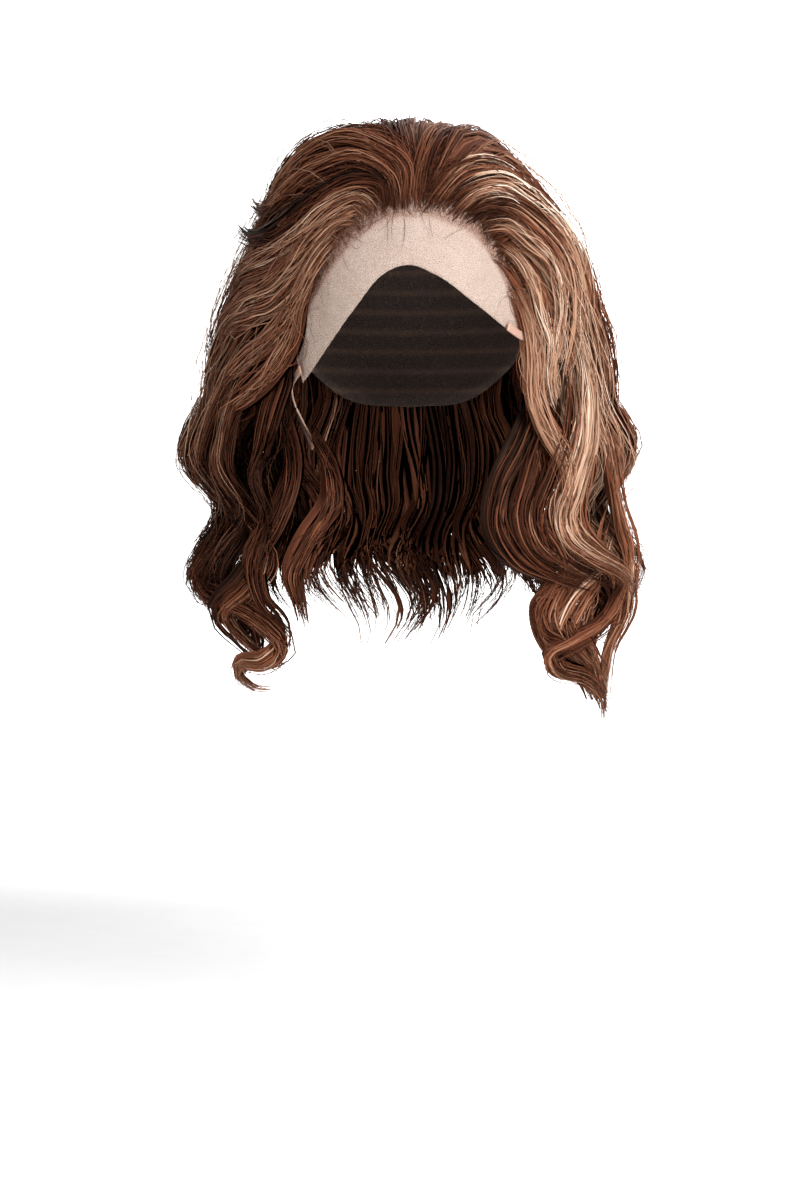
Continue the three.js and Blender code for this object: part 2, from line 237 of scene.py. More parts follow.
def hermite(points, knots, at):
    """A smooth curve through points, one at each knot, read at the places in at."""
    points, knots, at = (np.asarray(a, float) for a in (points, knots, at))
    slopes = np.gradient(points, knots, axis=0)
    i = np.clip(np.searchsorted(knots, at) - 1, 0, len(knots) - 2)
    wide = (slice(None),) + (None,) * (points.ndim - 1)
    span = (knots[i + 1] - knots[i])[wide]
    s = ((at - knots[i])[wide]) / span
    bend = slopes[i] * (s - 2 * s**2 + s**3) + slopes[i + 1] * (s**3 - s**2)
    return points[i] * (1 - 3 * s**2 + 2 * s**3) + points[i + 1] * (3 * s**2 - 2 * s**3) + bend * span


def level(rows, azimuth):
    """Reads a table of (azimuth, level in mm) smoothly, in metres."""
    key, value = np.array(rows, float).T
    return hermite(value, key, np.clip(azimuth, key[0], key[-1])) * MM


def wrapped_grid(columns, rows, place):
    """A grid of half width 1, with every corner moved to place(x, y)."""
    bm = bmesh.new()
    bmesh.ops.create_grid(bm, x_segments=columns, y_segments=rows, size=1)
    at = np.array([v.co for v in bm.verts])
    for vert, spot in zip(bm.verts, place(at[:, 0], at[:, 1])):
        vert.co = spot
    return bm


def thicken(bm, thickness):
    """Gives a sheet of faces the thickness of cloth, with its outside outward."""
    bmesh.ops.recalc_face_normals(bm, faces=bm.faces)
    bmesh.ops.solidify(bm, geom=bm.faces[:], thickness=thickness)
    bmesh.ops.recalc_face_normals(bm, faces=bm.faces)
    return bm


def threads(place, cells, sharpness):
    """1 on the threads of a net with this many cells in a metre, 0 in its holes."""
    weave = place.node("TexVoronoi", {"feature": "DISTANCE_TO_EDGE"}, {"Vector": place, "Scale": cells})
    return 1 - weave.math("MINIMUM", weave * sharpness, 1.0)


# %% The net cap
CAP_WALL = 1.2 * MM
CAP_CLOTH = 0.85 * CAP_WALL
CAP_RIM = [  # azimuth either way, level of the rim in mm
    (0, -16), (25, -24), (45, -52), (57, -84), (66, -106),
    (82, -109), (102, -112), (122, -130), (142, -146), (180, -152),
]
CAP_COLUMNS, CAP_ROWS = 80, 26
WELD = 0.05 * MM
NET_CELLS = 700.0  # in a metre
WEFT_WAVES = 520  # radians in a metre, which is a row of tape every 12 mm


def cap_place(x, y):
    azimuth = x * 180
    rim = angle_at(level(CAP_RIM, np.abs(azimuth)))
    return form_point(azimuth, rim * (1 - y) / 2, CAP_WALL)


net, start, feed = new_material("stretch net", Roughness=0.8)
place = start.node("TexCoord", output="Object")
thread = threads(place, NET_CELLS, 6)
height = place.node("SeparateXYZ", inputs={0: place}, output=2)
weft = height.math("SINE", height * WEFT_WAVES) * 0.5 + 0.5
shade = thread * 0.6 + weft.math("POWER", weft, 4) * 0.4
feed("Base Color", shade.mix(rgb(30, 21, 18), rgb(96, 72, 60)))
feed("Normal", shade.bump(0.5, 0.6 * MM))
bm = wrapped_grid(CAP_COLUMNS, CAP_ROWS, cap_place)
bmesh.ops.remove_doubles(bm, verts=bm.verts, dist=WELD)
mesh = mesh_of("net_cap", thicken(bm, CAP_CLOTH))
cap = settle(add_object(mesh, net), "cap")
print("net cap:", len(mesh.polygons), "faces,", round(area_of(cap), 4), "m2 of cloth")

# %% [markdown]
# The lace is a sheer beige net that carries on from the cap's rim down to its free
# edge. It is the same wrapping again, over a narrower span, with a small fold across
# the middle where the loose edge was pushed up. It has far too many holes to cut, so
# its material is thin in them instead. Towards the hairline it darkens, because each
# hair is tied in with a small brown knot.

# %% The lace panel
LACE_WALL = 0.5 * MM
LACE_CLOTH = 0.8 * LACE_WALL
LACE_SIDE = 63
LACE_EDGE = [  # azimuth, level of the free edge in mm
    (-66, -142), (-53, -135), (-38, -121), (-24, -102), (-12, -84),
    (0, -78), (11, -83), (30, -99), (49, -112), (66, -116),
]
HAIRLINE = [  # azimuth, level of the first roots in mm
    (-64, -118), (-55, -109), (-41, -86), (-28, -65), (-14, -52),
    (0, -48), (20, -52), (35, -63), (45, -82), (54, -106), (64, -114),
]
LACE_COLUMNS, LACE_ROWS = 96, 26
SEAM_DEG = 0.25
FOLD_HEIGHT, FOLD_AT = 0.9 * MM, 0.8  # a share of the way down
FOLD_WIDE, FOLD_SOFT = 9, 0.07  # in degrees, and as a share of the way down
RIPPLE_HEIGHT, RIPPLE_FROM, RIPPLE_TURNS = 0.35 * MM, 0.75, 0.9
LACE_CELLS, KNOT_CELLS = 900.0, 620.0  # in a metre
KNOTS_FADE, KNOTS_FULL = 8.0, -0.5  # mm below the first roots


def smoothstep(value, start, end):
    """0 before start, 1 after end, and a smooth rise between them."""
    s = np.clip((np.asarray(value, float) - start) / (end - start), 0, 1)
    return s * s * (3 - 2 * s)


def lace_place(x, y):
    azimuth = x * LACE_SIDE
    top = angle_at(level(CAP_RIM, np.abs(azimuth))) + SEAM_DEG
    edge = angle_at(level(LACE_EDGE, azimuth))
    down = (1 - y) / 2
    fold = FOLD_HEIGHT * np.exp(-((azimuth / FOLD_WIDE) ** 2) - ((down - FOLD_AT) / FOLD_SOFT) ** 2)
    ripple = RIPPLE_HEIGHT * np.sin(azimuth * RIPPLE_TURNS) * smoothstep(down, RIPPLE_FROM, 1)
    return form_point(azimuth, top + (edge - top) * down, LACE_WALL + fold + np.abs(ripple))


lace_cloth, start, feed = new_material("sheer lace", Roughness=0.7)
place = start.node("TexCoord", output="Object")
thread = threads(place, LACE_CELLS, 7)
below = start.node("Attribute", {"attribute_name": "below"}, output=2)
near = below.node("MapRange", {"interpolation_type": "SMOOTHSTEP"}, {0: below, 1: KNOTS_FADE, 2: KNOTS_FULL})
spots = place.node("TexVoronoi", inputs={"Vector": place, "Scale": KNOT_CELLS})
knots = near * (1 - spots.math("MINIMUM", spots * 1.3, 1.0) * 0.35)
cloth = place.noise(60.0, 3.0).mix(rgb(220, 192, 175), rgb(240, 218, 203))
feed("Base Color", knots.mix(cloth, rgb(112, 70, 50)))
feed("Alpha", thread * 0.22 + 0.2 + knots * 0.45)
feed("Normal", thread.bump(0.15, 0.3 * MM))
mesh = mesh_of("lace_panel", thicken(wrapped_grid(LACE_COLUMNS, LACE_ROWS, lace_place), LACE_CLOTH))
x, y, z = np.array([v.co for v in mesh.vertices]).T
azimuth = np.degrees(np.arctan2(x / FORM_HALF_WIDTH, -y / FORM_HALF_DEPTH))
below = (level(HAIRLINE, azimuth) - z) / MM
mesh.attributes.new("below", "FLOAT", "POINT").data.foreach_set("value", below.astype(np.float32))
lace = settle(add_object(mesh, lace_cloth), "lace_front")
print("lace panel:", len(mesh.polygons), "faces,", round(area_of(lace), 4), "m2 of cloth")

# %% [markdown]
# An ear tab is a narrow band of pale tape that runs from the lace past the temple. A
# curve with a bevel could make it, but might twist where it turns, so a thin grid is
# bent along a short line of stations, facing out all the way, and given a thickness.

# %% The ear tabs
TAB_WIDTH, TAB_WALL = 4.5 * MM, 1.2 * MM
TAB_CLOTH = 0.8 * TAB_WALL
TAB_COLUMNS, TAB_ROWS = 40, 6
TAB_STEP = 0.01  # how far before and behind a place its direction is read
PATH_SAMPLES = 300
EAR_TABS = {  # name: stations of azimuth, level and stand off the form, in mm
    "ear_tab_left": [(46, -110, 2.2), (56, -114.5, 2.2), (70, -115, 2.2), (88, -112, 2.2)],
    "ear_tab_right": [(-58, -133, 2.6), (-75, -143, 3.5), (-80, -156, 5), (-66, -177, 14)],
}


def even_path(stations, fractions):
    """A smooth curve through the stations, read at fractions of its length."""
    step = np.linalg.norm(np.diff(stations, axis=0), axis=1) ** 0.5
    knots = np.concatenate([[0], np.cumsum(step)])
    fine = hermite(stations, knots, np.linspace(0, knots[-1], PATH_SAMPLES))
    reach = np.concatenate([[0], np.cumsum(np.linalg.norm(np.diff(fine, axis=0), axis=1))])
    return np.stack([np.interp(fractions * reach[-1], reach, fine[:, k]) for k in range(3)], -1)


def unit(vectors):
    """The vectors, each made one long."""
    return vectors / np.maximum(np.linalg.norm(vectors, axis=-1, keepdims=True), 1e-12)


tape, start, feed = new_material("satin tape", Roughness=0.55)
place = start.node("TexCoord", output="Object")
cross = place.noise(900.0)
feed("Base Color", (cross * 0.6 + place.noise(120.0) * 0.4).mix(rgb(146, 112, 97), rgb(184, 148, 130)))
feed("Normal", cross.bump(0.5, 0.3 * MM))
for name, rows in EAR_TABS.items():
    azimuth, height, stand = np.array(rows, float).T
    stations = form_point(azimuth, angle_at(height * MM), stand * MM)

    def tab_place(x, y):
        here = (x + 1) / 2
        before, centre, after = (
            even_path(stations, np.clip(here + step, 0, 1)) for step in (-TAB_STEP, 0, TAB_STEP)
        )
        along = unit(after - before)
        outward = centre * [1, 1, 0]
        outward = unit(outward - along * (outward * along).sum(-1, keepdims=True))
        return centre + np.cross(outward, along) * (y * TAB_WIDTH / 2)[:, None] + outward * TAB_WALL / 2

    mesh = mesh_of(name + "_tape", thicken(wrapped_grid(TAB_COLUMNS, TAB_ROWS, tab_place), TAB_CLOTH))
    settle(add_object(mesh, tape), name)
    print(name, len(mesh.polygons), "faces")

# %% [markdown]
# Hair is easiest to think of as combed sheets. Each section of the wig is one sheet
# through a few rows of stations: where the hair grows (on the hairline or the cap),
# where it crests, turns over the side of the form, hangs, and ends. Reading the
# sheet at one place across gives the way one lock runs. A guide curve for every lock
# would work too, but a sheet keeps neighbours side by side and is a few rows long.

# %% Stations of the sheets
# azimuth, root level (None is the hairline), crest, turn, hang and tip, in mm
SECTIONS = {
    "front_hair_right": [
        (-1, None, (-1, -28, 6), (-5, 64, 9), (-34, 117, -108), (-36, 108, -310)),
        (-8, None, (-26, -26, 5), (-61, 52, -5), (-84, 99, -116), (-86, 92, -304)),
        (-16, None, (-51, -36, -8), (-85, 22, -37), (-114, 56, -132), (-114, 52, -298)),
        (-26, None, (-61, -55, -35), (-98, 4, -70), (-123, 32, -152), (-113, 20, -303)),
        (-36, None, (-66, -60, -68), (-104, -6, -98), (-124, 10, -166), (-108, -12, -306)),
        (-45, None, (-69, -58, -95), (-100, -15, -123), (-117, -15, -176), (-95, -40, -309)),
        (-54, None, (-72, -52, -120), (-92, -26, -143), (-104, -35, -181), (-75, -58, -299)),
    ],
    "front_hair_left": [
        (1, None, (1, -28, 6), (5, 64, 9), (36, 117, -108), (38, 108, -310)),
        (8, None, (24, -25, 6), (56, 56, -5), (84, 100, -114), (88, 93, -306)),
        (16, None, (45, -36, -9), (86, 23, -38), (114, 57, -118), (122, 52, -300)),
        (27, None, (57, -55, -29), (98, 5, -69), (118, 33, -140), (127, 20, -300)),
        (37, None, (62, -60, -51), (98, -5, -92), (115, 10, -152), (121, -12, -320)),
        (45, None, (66, -58, -77), (88, -15, -112), (101, -15, -163), (110, -40, -334)),
        (51, None, (67, -52, -104), (79, -28, -131), (88, -35, -170), (91, -52, -314)),
    ],
    "crown_hair": [
        (-150, -8, (-14, 70, 4), (-30, 107, -42), (-36, 122, -126), (-38, 113, -314)),
        (-180, -6, (0, 70, 4), (0, 111, -42), (0, 125, -126), (0, 116, -322)),
        (-210, -8, (14, 70, 4), (30, 107, -42), (36, 122, -126), (38, 113, -314)),
    ],
    "side_hair_right": [
        (-66, -100, (-78, -42, -134), (-88, -38, -162), (-95, -41, -196), (-72, -58, -292)),
        (-80, -98, (-82, -18, -132), (-88, -20, -166), (-82, -32, -206), (-64, -48, -286)),
        (-98, -100, (-81, 14, -134), (-86, 10, -170), (-70, -2, -208), (-62, -22, -281)),
        (-118, -112, (-76, 44, -146), (-79, 42, -178), (-66, 30, -215), (-58, 8, -274)),
    ],
    "side_hair_left": [
        (66, -100, (74, -42, -130), (80, -40, -153), (83, -43, -187), (89, -57, -303)),
        (80, -98, (80, -16, -130), (81, -18, -160), (71, -28, -207), (85, -46, -283)),
        (98, -100, (81, 14, -133), (81, 10, -166), (65, -2, -208), (78, -22, -274)),
        (118, -112, (76, 44, -146), (77, 42, -176), (60, 30, -215), (64, 8, -268)),
    ],
    "back_hair": [
        (-130, -122, (-64, 72, -146), (-76, 76, -178), (-74, 74, -215), (-62, 62, -286)),
        (-155, -118, (-38, 98, -142), (-42, 102, -175), (-40, 100, -215), (-36, 94, -302)),
        (-205, -118, (38, 98, -142), (42, 102, -175), (40, 100, -215), (36, 94, -302)),
        (-230, -122, (64, 72, -146), (76, 76, -178), (74, 74, -215), (62, 62, -286)),
    ],
}
print(sum(map(len, SECTIONS.values())), "rows of stations in", len(SECTIONS), "sections")

# %% The combed sheets
ROOT_LIFT = 2.6 * MM
SHEET_COLUMNS, SHEET_ROWS = 97, 161
FORM_MIDDLE = np.array([0, 0.012, -0.1])


class Sheet:
    """A section's combed surface, as grids of its points and directions."""

    def __init__(self, rows):
        azimuth, given = np.array([row[:2] for row in rows], float).T
        root_z = np.where(np.isnan(given), level(HAIRLINE, azimuth), given * MM)
        roots = form_point(azimuth, angle_at(root_z), CAP_WALL + ROOT_LIFT)
        stations = np.concatenate([roots[:, None], np.array([row[2:] for row in rows]) * MM], 1)
        order = np.arange(len(rows))
        places = np.linspace(0, order[-1], SHEET_COLUMNS)
        self.azimuth = hermite(azimuth, order, places)
        self.angle = angle_at(hermite(root_z, order, places))
        columns = hermite(stations, order, places)
        self.at = np.array([even_path(line, np.linspace(0, 1, SHEET_ROWS)) for line in columns])
        self.along = unit(np.gradient(self.at, axis=1))
        across = np.gradient(self.at, 1 / (SHEET_COLUMNS - 1), axis=0)
        self.stretch = np.linalg.norm(across, axis=-1, keepdims=True)
        self.across = unit(across - self.along * (across * self.along).sum(-1, keepdims=True))
        inward = np.cross(self.along, self.across)
        middle = self.at[SHEET_COLUMNS // 2, SHEET_ROWS // 2]
        towards = (FORM_MIDDLE - middle) * [1, 1, 0]
        self.inward = inward * np.sign(inward[SHEET_COLUMNS // 2, SHEET_ROWS // 2] @ towards)
        width = np.linalg.norm(np.diff(self.at[:, SHEET_ROWS // 4 :], axis=0), axis=-1).mean(1)
        self.width = width.sum()
        self.turns = np.sign(azimuth[-1] - azimuth[0])
        self.share = np.concatenate([[0], np.cumsum(width)]) / width.sum()

    def read(self, grid, u, t):
        """Reads a grid at places u across and t along, both from 0 to 1."""
        i = np.clip(u, 0, 1) * (grid.shape[0] - 1)
        j = np.clip(t, 0, 1) * (grid.shape[1] - 1)
        i0 = np.minimum(i.astype(int), grid.shape[0] - 2)
        j0 = np.minimum(j.astype(int), grid.shape[1] - 2)
        fi, fj = (i - i0)[..., None], (j - j0)[..., None]
        low = grid[i0, j0] * (1 - fi) + grid[i0 + 1, j0] * fi
        high = grid[i0, j0 + 1] * (1 - fi) + grid[i0 + 1, j0 + 1] * fi
        return low * (1 - fj) + high * fj

    def spread(self, share):
        """The places across that split the sheet's width by share."""
        return np.interp(share, self.share, np.linspace(0, 1, SHEET_COLUMNS))


sheets = {name: Sheet(rows) for name, rows in SECTIONS.items()}
for name, sheet in sheets.items():
    print(name, "is", round(sheet.width * 1000), "mm wide where it hangs")

# %% [markdown]
# The wave is what gives the style its name. It sets in below the ears, with crests
# about 78 mm apart, and neighbouring locks share its rhythm, so the outline goes in
# and out as one. Locks nearer the face swing wider, and every end swings widest. A
# displacement by noise would break that rhythm, so the wave is a plain sine of height.

# %% The wave
WAVE_LENGTH = 78 * MM
WAVE_INWARD_LEVEL = -214 * MM
WAVE_ROLL = 7 * MM
WAVE_SETS_IN, WAVE_FULL = 0.42, 0.66  # shares of the way along
END_SWING, END_FROM = 0.35, 0.75
SWAY_FADE = 45 * MM


def wave(points, t, sway, shift):
    """Swings points in and out as they go down; sway and shift belong to each lock."""
    strength = smoothstep(t, WAVE_SETS_IN, WAVE_FULL) * (1 + END_SWING * smoothstep(t, END_FROM, 1.0))
    phase = 2 * np.pi * (points[..., 2] - WAVE_INWARD_LEVEL) / WAVE_LENGTH + shift
    side = np.clip(points[..., 0] / SWAY_FADE, -1, 1)
    moved = points.copy()
    moved[..., 0] -= side * strength * sway * np.cos(phase)
    moved[..., 0] += (1 - np.abs(side)) * strength * sway * np.sin(phase)
    moved[..., 1] += strength * WAVE_ROLL * np.sin(phase)
    return moved


print("the wave goes in and out every", round(WAVE_LENGTH / MM), "mm of height")

# %% [markdown]
# A lock is a loose bundle of tresses. Its hairs grow apart on the cap, draw towards
# their tress as they fall, and end in a soft point, and the lock is round: its edges
# lie lower than its middle. A particle system could scatter such hairs, but not say
# where one lock parts from the next, so one function draws the locks of a section and
# another lays any number of paths in them. Two helpers come first: one moves hair out
# of the form, and the other gives every hair loose bends of its own.

# %% Clear of the form, and loose
LOOSE_BENDS = ((14, 1.0), (31, 0.4))  # radians along a hair, and share of its looseness
NARROWEST, DEEPEST = 0.6, 0.3  # least girth of the form, and least reach, that are counted
CLEAR_DROP = 55 * MM  # how far below its widest level the form is kept clear


def clear_form(points, grow):
    """Moves points that are inside the form out to its surface, raised by grow."""
    x, y, z = points[..., 0], points[..., 1], points[..., 2]
    drop = np.maximum(-FORM_CROWN - z, 0)
    girth = np.maximum(1 - FORM_TAPER * (drop / FORM_TAPER_DROP) ** 2, NARROWEST)
    rise = np.maximum(z + FORM_CROWN, 0) / (FORM_CROWN + grow)
    reach = np.hypot(x / (FORM_HALF_WIDTH + grow), y / (FORM_HALF_DEPTH + grow)) / girth
    inside = np.sqrt(reach**2 + rise**2)
    push = np.where((inside < 1) & (drop < CLEAR_DROP), 1 / np.maximum(inside, DEEPEST), 1)
    height = np.where(drop > 0, z, (z + FORM_CROWN) * push - FORM_CROWN)
    return np.stack([x * push, y * push, height], -1)


def reel(paths, t, size, rng):
    """Small loose bends that no two hairs share."""
    moved = paths.copy()
    for turns, share in LOOSE_BENDS:
        phase = rng.uniform(0, 2 * np.pi, (len(paths), 1, 3))
        reach = share * size * rng.normal(0, 0.6, (len(paths), 1, 3))
        moved = moved + reach * smoothstep(t, 0.02, 0.45)[..., None] * np.sin(turns * t[..., None] + phase)
    return moved


# %% Laying paths in locks
LOCK_SPREAD = 0.8  # half width of a lock, as a share of the space between locks
LOCK_ROUND = 4.5 * MM
STEP_SHARE, LENGTH_SHARE = (0, 0.24, 1), (0, 0.4, 1)  # longer steps before the wave


def lay_locks(sheet, count, tresses, sway, seed):
    """A section's locks, parted into tresses: a value of each kind for every tress."""
    rng = np.random.default_rng(seed)
    u = sheet.spread((np.arange(count) + 0.5 + rng.uniform(-0.3, 0.3, count)) / count)
    lock = np.repeat(np.arange(count), tresses)
    many = len(lock)
    return {
        "u": u[lock],
        "space": np.full(many, 1 / count),
        "aside": np.clip(rng.normal(0, 0.55, many), -1, 1),
        "sway": (np.interp(u, [0, 0.6, 1], sway) * MM * rng.uniform(0.75, 1.25, count))[lock],
        "shift": rng.normal(0, 0.42, count)[lock] + rng.normal(0, 0.15, many),
        "wander": rng.uniform(1.0, 4.0, count)[lock] * MM,
        "turn": rng.uniform(0, 2 * np.pi, count)[lock],
        "lift": rng.normal(0, 1.6, count)[lock] * MM,
        "light": rng.uniform(0, 1, count)[lock],
        "shade": rng.normal(0, 0.045, many),
        "end": rng.uniform(0.95, 1.0, count)[lock] * rng.uniform(0.94, 1.0, many),
    }


def lay_paths(sheet, locks, tress, rng, steps, depth, back, hold, loose, shortest, grow):
    """Paths that follow their tresses, their places along and across, and the way they lean."""
    count = len(tress)
    get = {key: value[tress][:, None] for key, value in locks.items()}
    end = get["end"] * rng.uniform(shortest, 1.0, (count, 1))
    t = np.interp(np.linspace(0, 1, steps + 1), STEP_SHARE, LENGTH_SHARE)[None] * end
    aside = get["aside"] + rng.normal(0, 0.25, (count, 1))
    wide = LOCK_SPREAD * get["space"] * (1 + 1.5 * np.exp(-((get["u"] / 0.05) ** 2)))
    own, drawn = get["u"] + aside * wide, get["u"] + get["aside"] * wide * 0.7
    hold = hold[:, None]
    gather = hold * smoothstep(t, 0.05, 0.5) + (1 - hold) * 0.25 * smoothstep(t / end, 0.6, 1)
    u = own + (drawn - own) * gather
    grids = (sheet.at, sheet.across, sheet.inward, sheet.stretch)
    at, across, inward, stretch = (sheet.read(grid, u, t) for grid in grids)
    over = (u - np.clip(u, 0, 1))[..., None] * stretch
    deep = (depth[:, None] + LOCK_ROUND * np.minimum(aside**2, 1.5)) * smoothstep(t, 0.0, 0.14)
    deep = deep + get["lift"] * smoothstep(t, 0.06, 0.2)
    sidle = get["wander"] * np.sin(t * 8 + get["turn"]) * smoothstep(t, 0.1, 0.5)
    at = at + across * (over + sidle[..., None]) + inward * deep[..., None]
    at = reel(at, t, loose * MM, rng)
    columns = np.linspace(0, 1, SHEET_COLUMNS)
    azimuth, down = (np.interp(own, columns, row) for row in (sheet.azimuth, sheet.angle))
    beyond = (own - np.clip(own, 0, 1)) * stretch[:, :1, 0] / FORM_HALF_DEPTH
    azimuth = azimuth + np.degrees(beyond) * sheet.turns
    root = form_point(azimuth, np.maximum(down - back[:, None], 2), CAP_WALL + grow)
    at = at + (root - at[:, :1]) * ((1 - smoothstep(t, 0.0, 0.15)) ** 1.5)[..., None]
    at = clear_form(at, CAP_WALL + grow)
    own_shift = rng.normal(0, 0.25, (count, 1)) * (1.2 - hold)
    lean = np.clip(aside, -1, 1)[..., None] * across
    return wave(at, t, get["sway"], get["shift"] + own_shift), t, u, lean


# %% [markdown]
# Each path is skinned with a narrow closed tube of three or four sides. Curves with a
# bevel would give such tubes too, but not their normals: here these lean with the lock
# more than with the tube, so a lock catches the light as one body, as combed hair does,
# and not as a row of wires.

# %% Skinning the paths
LOCK_LEAN = 0.65
TUBE_ROUND = 0.28
TURNED_UP = -0.1  # a side turned up more than this faces as its lock does, the others away
STEEPEST = 0.1  # least share of its face's own direction in a normal


def skin(paths, half_width, half_thick, sides, lean, facing=(0, 0, 0)):
    """Rings of points round each path, wide across and thin in depth, and the way each faces."""
    along = unit(np.gradient(paths, axis=1))
    outward = unit(paths - FORM_MIDDLE) + np.array(facing)
    side = unit(np.cross(along, outward))
    up = np.cross(side, along)
    turn = np.pi / 2 + np.arange(sides) * 2 * np.pi / sides
    wide = half_width[..., None, None] * np.cos(turn)[:, None] * side[:, :, None]
    thick = half_thick[..., None, None] * np.sin(turn)[:, None] * up[:, :, None]
    return paths[:, :, None] + wide + thick, unit(up + LOCK_LEAN * lean)


def corner_normals(rings, up):
    """A normal for each corner of each tube, with the lean of its lock and a little of its own."""
    tubes, stops, sides = rings.shape[:3]
    middle = rings.mean(2)
    radial = TUBE_ROUND * unit(rings - middle[:, :, None])
    turn = np.pi / 2 + (np.arange(sides) + 0.5) * 2 * np.pi / sides
    face = np.where(np.sin(turn) > TURNED_UP, 1.0, -1.0)[:, None] * up[:, :, None]
    first, second = unit(face + radial), unit(face + np.roll(radial, -1, 2))
    walls = np.stack([first[:, :-1], first[:, 1:], second[:, 1:], second[:, :-1]], 3)
    beside = np.roll(rings, -1, 2)
    flat = unit(np.cross(beside[:, 1:] - rings[:, :-1], beside[:, :-1] - rings[:, 1:]))[..., None, :]
    walls = unit(walls + flat * np.maximum(STEEPEST - (walls * flat).sum(-1, keepdims=True), 0))
    ends = unit(np.stack([middle[:, 0] - middle[:, 1], middle[:, -1] - middle[:, -2]], 1))
    return np.concatenate([walls.reshape(tubes, -1, 3), np.repeat(ends, sides, 1)], 1)


# %% [markdown]
# All the tubes of one kind become one mesh, filled from arrays, because thousands of
# objects or a loop over every face would be slow. The mesh carries what the finish
# reads: the tone at every corner, and its place round the hair, along it, and a number
# that is the hair's own. A flat map gives each tube a cell to itself.

# %% One mesh of many tubes


def tube_mesh(name, rings, up, tone, rng):
    """One mesh of many closed tubes, from rings of points [tube, step, side, xyz]."""
    tubes, stops, sides = rings.shape[:3]
    steps = stops - 1
    first = (np.arange(tubes) * stops * sides)[:, None, None]
    k, s = np.arange(steps)[None, :, None], np.arange(sides)[None, None]
    here, beside = k * sides + s, k * sides + (s + 1) % sides
    quads = np.stack([here, here + sides, beside + sides, beside], -1) + first[..., None]
    root = first[:, 0] + np.arange(sides)
    tip = first[:, 0] + steps * sides + np.arange(sides)[::-1]
    corners = np.concatenate([quads.reshape(tubes, -1), root, tip], 1).ravel()
    sizes = np.tile(np.concatenate([np.full(steps * sides, 4), [sides, sides]]), tubes)
    starts = np.concatenate([[0], np.cumsum(sizes)[:-1]])
    mesh = bpy.data.meshes.new(name)
    mesh.vertices.add(tubes * stops * sides)
    mesh.vertices.foreach_set("co", rings.astype(np.float32).ravel())
    mesh.loops.add(len(corners))
    mesh.loops.foreach_set("vertex_index", corners.astype(np.int32))
    mesh.polygons.add(len(sizes))
    mesh.polygons.foreach_set("loop_start", starts.astype(np.int32))
    mesh.polygons.foreach_set("loop_total", sizes.astype(np.int32))
    mesh.update(calc_edges=True)
    shape = (tubes, stops, sides)
    shown = np.broadcast_to(tone[..., None], shape)
    middle = rings.mean(2)
    length = np.cumsum(np.linalg.norm(np.diff(middle, axis=1, prepend=middle[:, :1]), axis=-1), axis=1)
    wide = np.linalg.norm(rings[:, stops // 2, 1] - rings[:, stops // 2, -1], axis=-1) / 2
    round_it = np.sin(np.arange(sides) * 2 * np.pi / sides) * wide[:, None, None]
    random = rng.uniform(0, 1, (tubes, 1, 1))
    comb = np.stack([np.broadcast_to(row, shape) for row in (round_it, length[..., None], random)], -1)
    for key, kind, domain, field, values in (
        ("tone", "FLOAT", "POINT", "value", shown),
        ("comb", "FLOAT_VECTOR", "POINT", "vector", comb),
        ("custom_normal", "FLOAT_VECTOR", "CORNER", "vector", corner_normals(rings, up)),
    ):
        mesh.attributes.new(key, kind, domain).data.foreach_set(field, values.astype(np.float32).ravel())
    lay_out(mesh, tubes, steps, sides)
    return mesh


def lay_out(mesh, tubes, steps, sides):
    """A flat map with a cell for each tube: round it one way and along it the other."""
    columns = int(np.ceil(np.sqrt(tubes * 2)))
    lines = int(np.ceil(tubes / columns))
    k, s = np.arange(steps)[:, None], np.arange(sides)[None]
    x = np.stack([s, s, s + 1, s + 1], -1) / sides + 0 * k[..., None]
    y = np.stack([k, k + 1, k + 1, k], -1) / steps + 0 * s[..., None]
    turn = np.arange(sides) * 2 * np.pi / sides
    disc = np.stack([0.5 + 0.4 * np.cos(turn), 0.02 + 0.018 * np.sin(turn)], -1)
    cell = np.concatenate([np.stack([x, 0.05 + 0.9 * y], -1).reshape(-1, 2), disc, disc + [0, 0.96]])
    corner = np.stack([np.arange(tubes) % columns, np.arange(tubes) // columns], -1)
    flat = (corner[:, None] + 0.06 + 0.88 * cell[None]) / [columns, lines]
    mesh.uv_layers.new(name="OFBake").data.foreach_set("uv", flat.astype(np.float32).ravel())


# %% [markdown]
# Every strand carries its own tone: dark at the root, lighter on the lengths where
# the lock was given a light, and a little of its own. The shader turns the tone into
# brown, caramel or blonde, and breaks it with fine streaks along the hair. Blender has
# a shader made for hair, but it cannot be baked, so this finish is a soft, low gloss
# with a warm tint.

# %% The hair's finish
STREAKS = (1600.0, 16.0, 90.0)  # round a hair, along it, and from hair to hair
STREAK_DEPTH = 0.58
TONES = [  # tone, colour as seen
    (0.0, (17, 9, 7)),
    (0.25, (57, 29, 20)),
    (0.5, (111, 65, 45)),
    (0.75, (172, 135, 110)),
    (1.0, (232, 213, 196)),
]
hair, start, feed = new_material("waved hair", Specular_IOR_Level=0.09, Specular_Tint=rgb(255, 205, 165))
tone = start.node("Attribute", {"attribute_name": "tone"}, output=2)
comb = start.node("Attribute", {"attribute_name": "comb"}, output=1)
streak = comb.node("VectorMath", {"operation": "MULTIPLY"}, {0: comb, 1: STREAKS}).noise(1.0)
stops = [(tone_at, rgb(*colour)) for tone_at, colour in TONES]
varied = tone + (streak - 0.5) * STREAK_DEPTH
feed("Base Color", varied.node("ValToRGB", {"stops": stops}, {0: varied}))
feed("Roughness", 0.58 - streak * 0.2)
feed("Normal", streak.bump(0.35, 0.5 * MM))
print("waved hair: tones from", TONES[0][1], "to", TONES[-1][1])
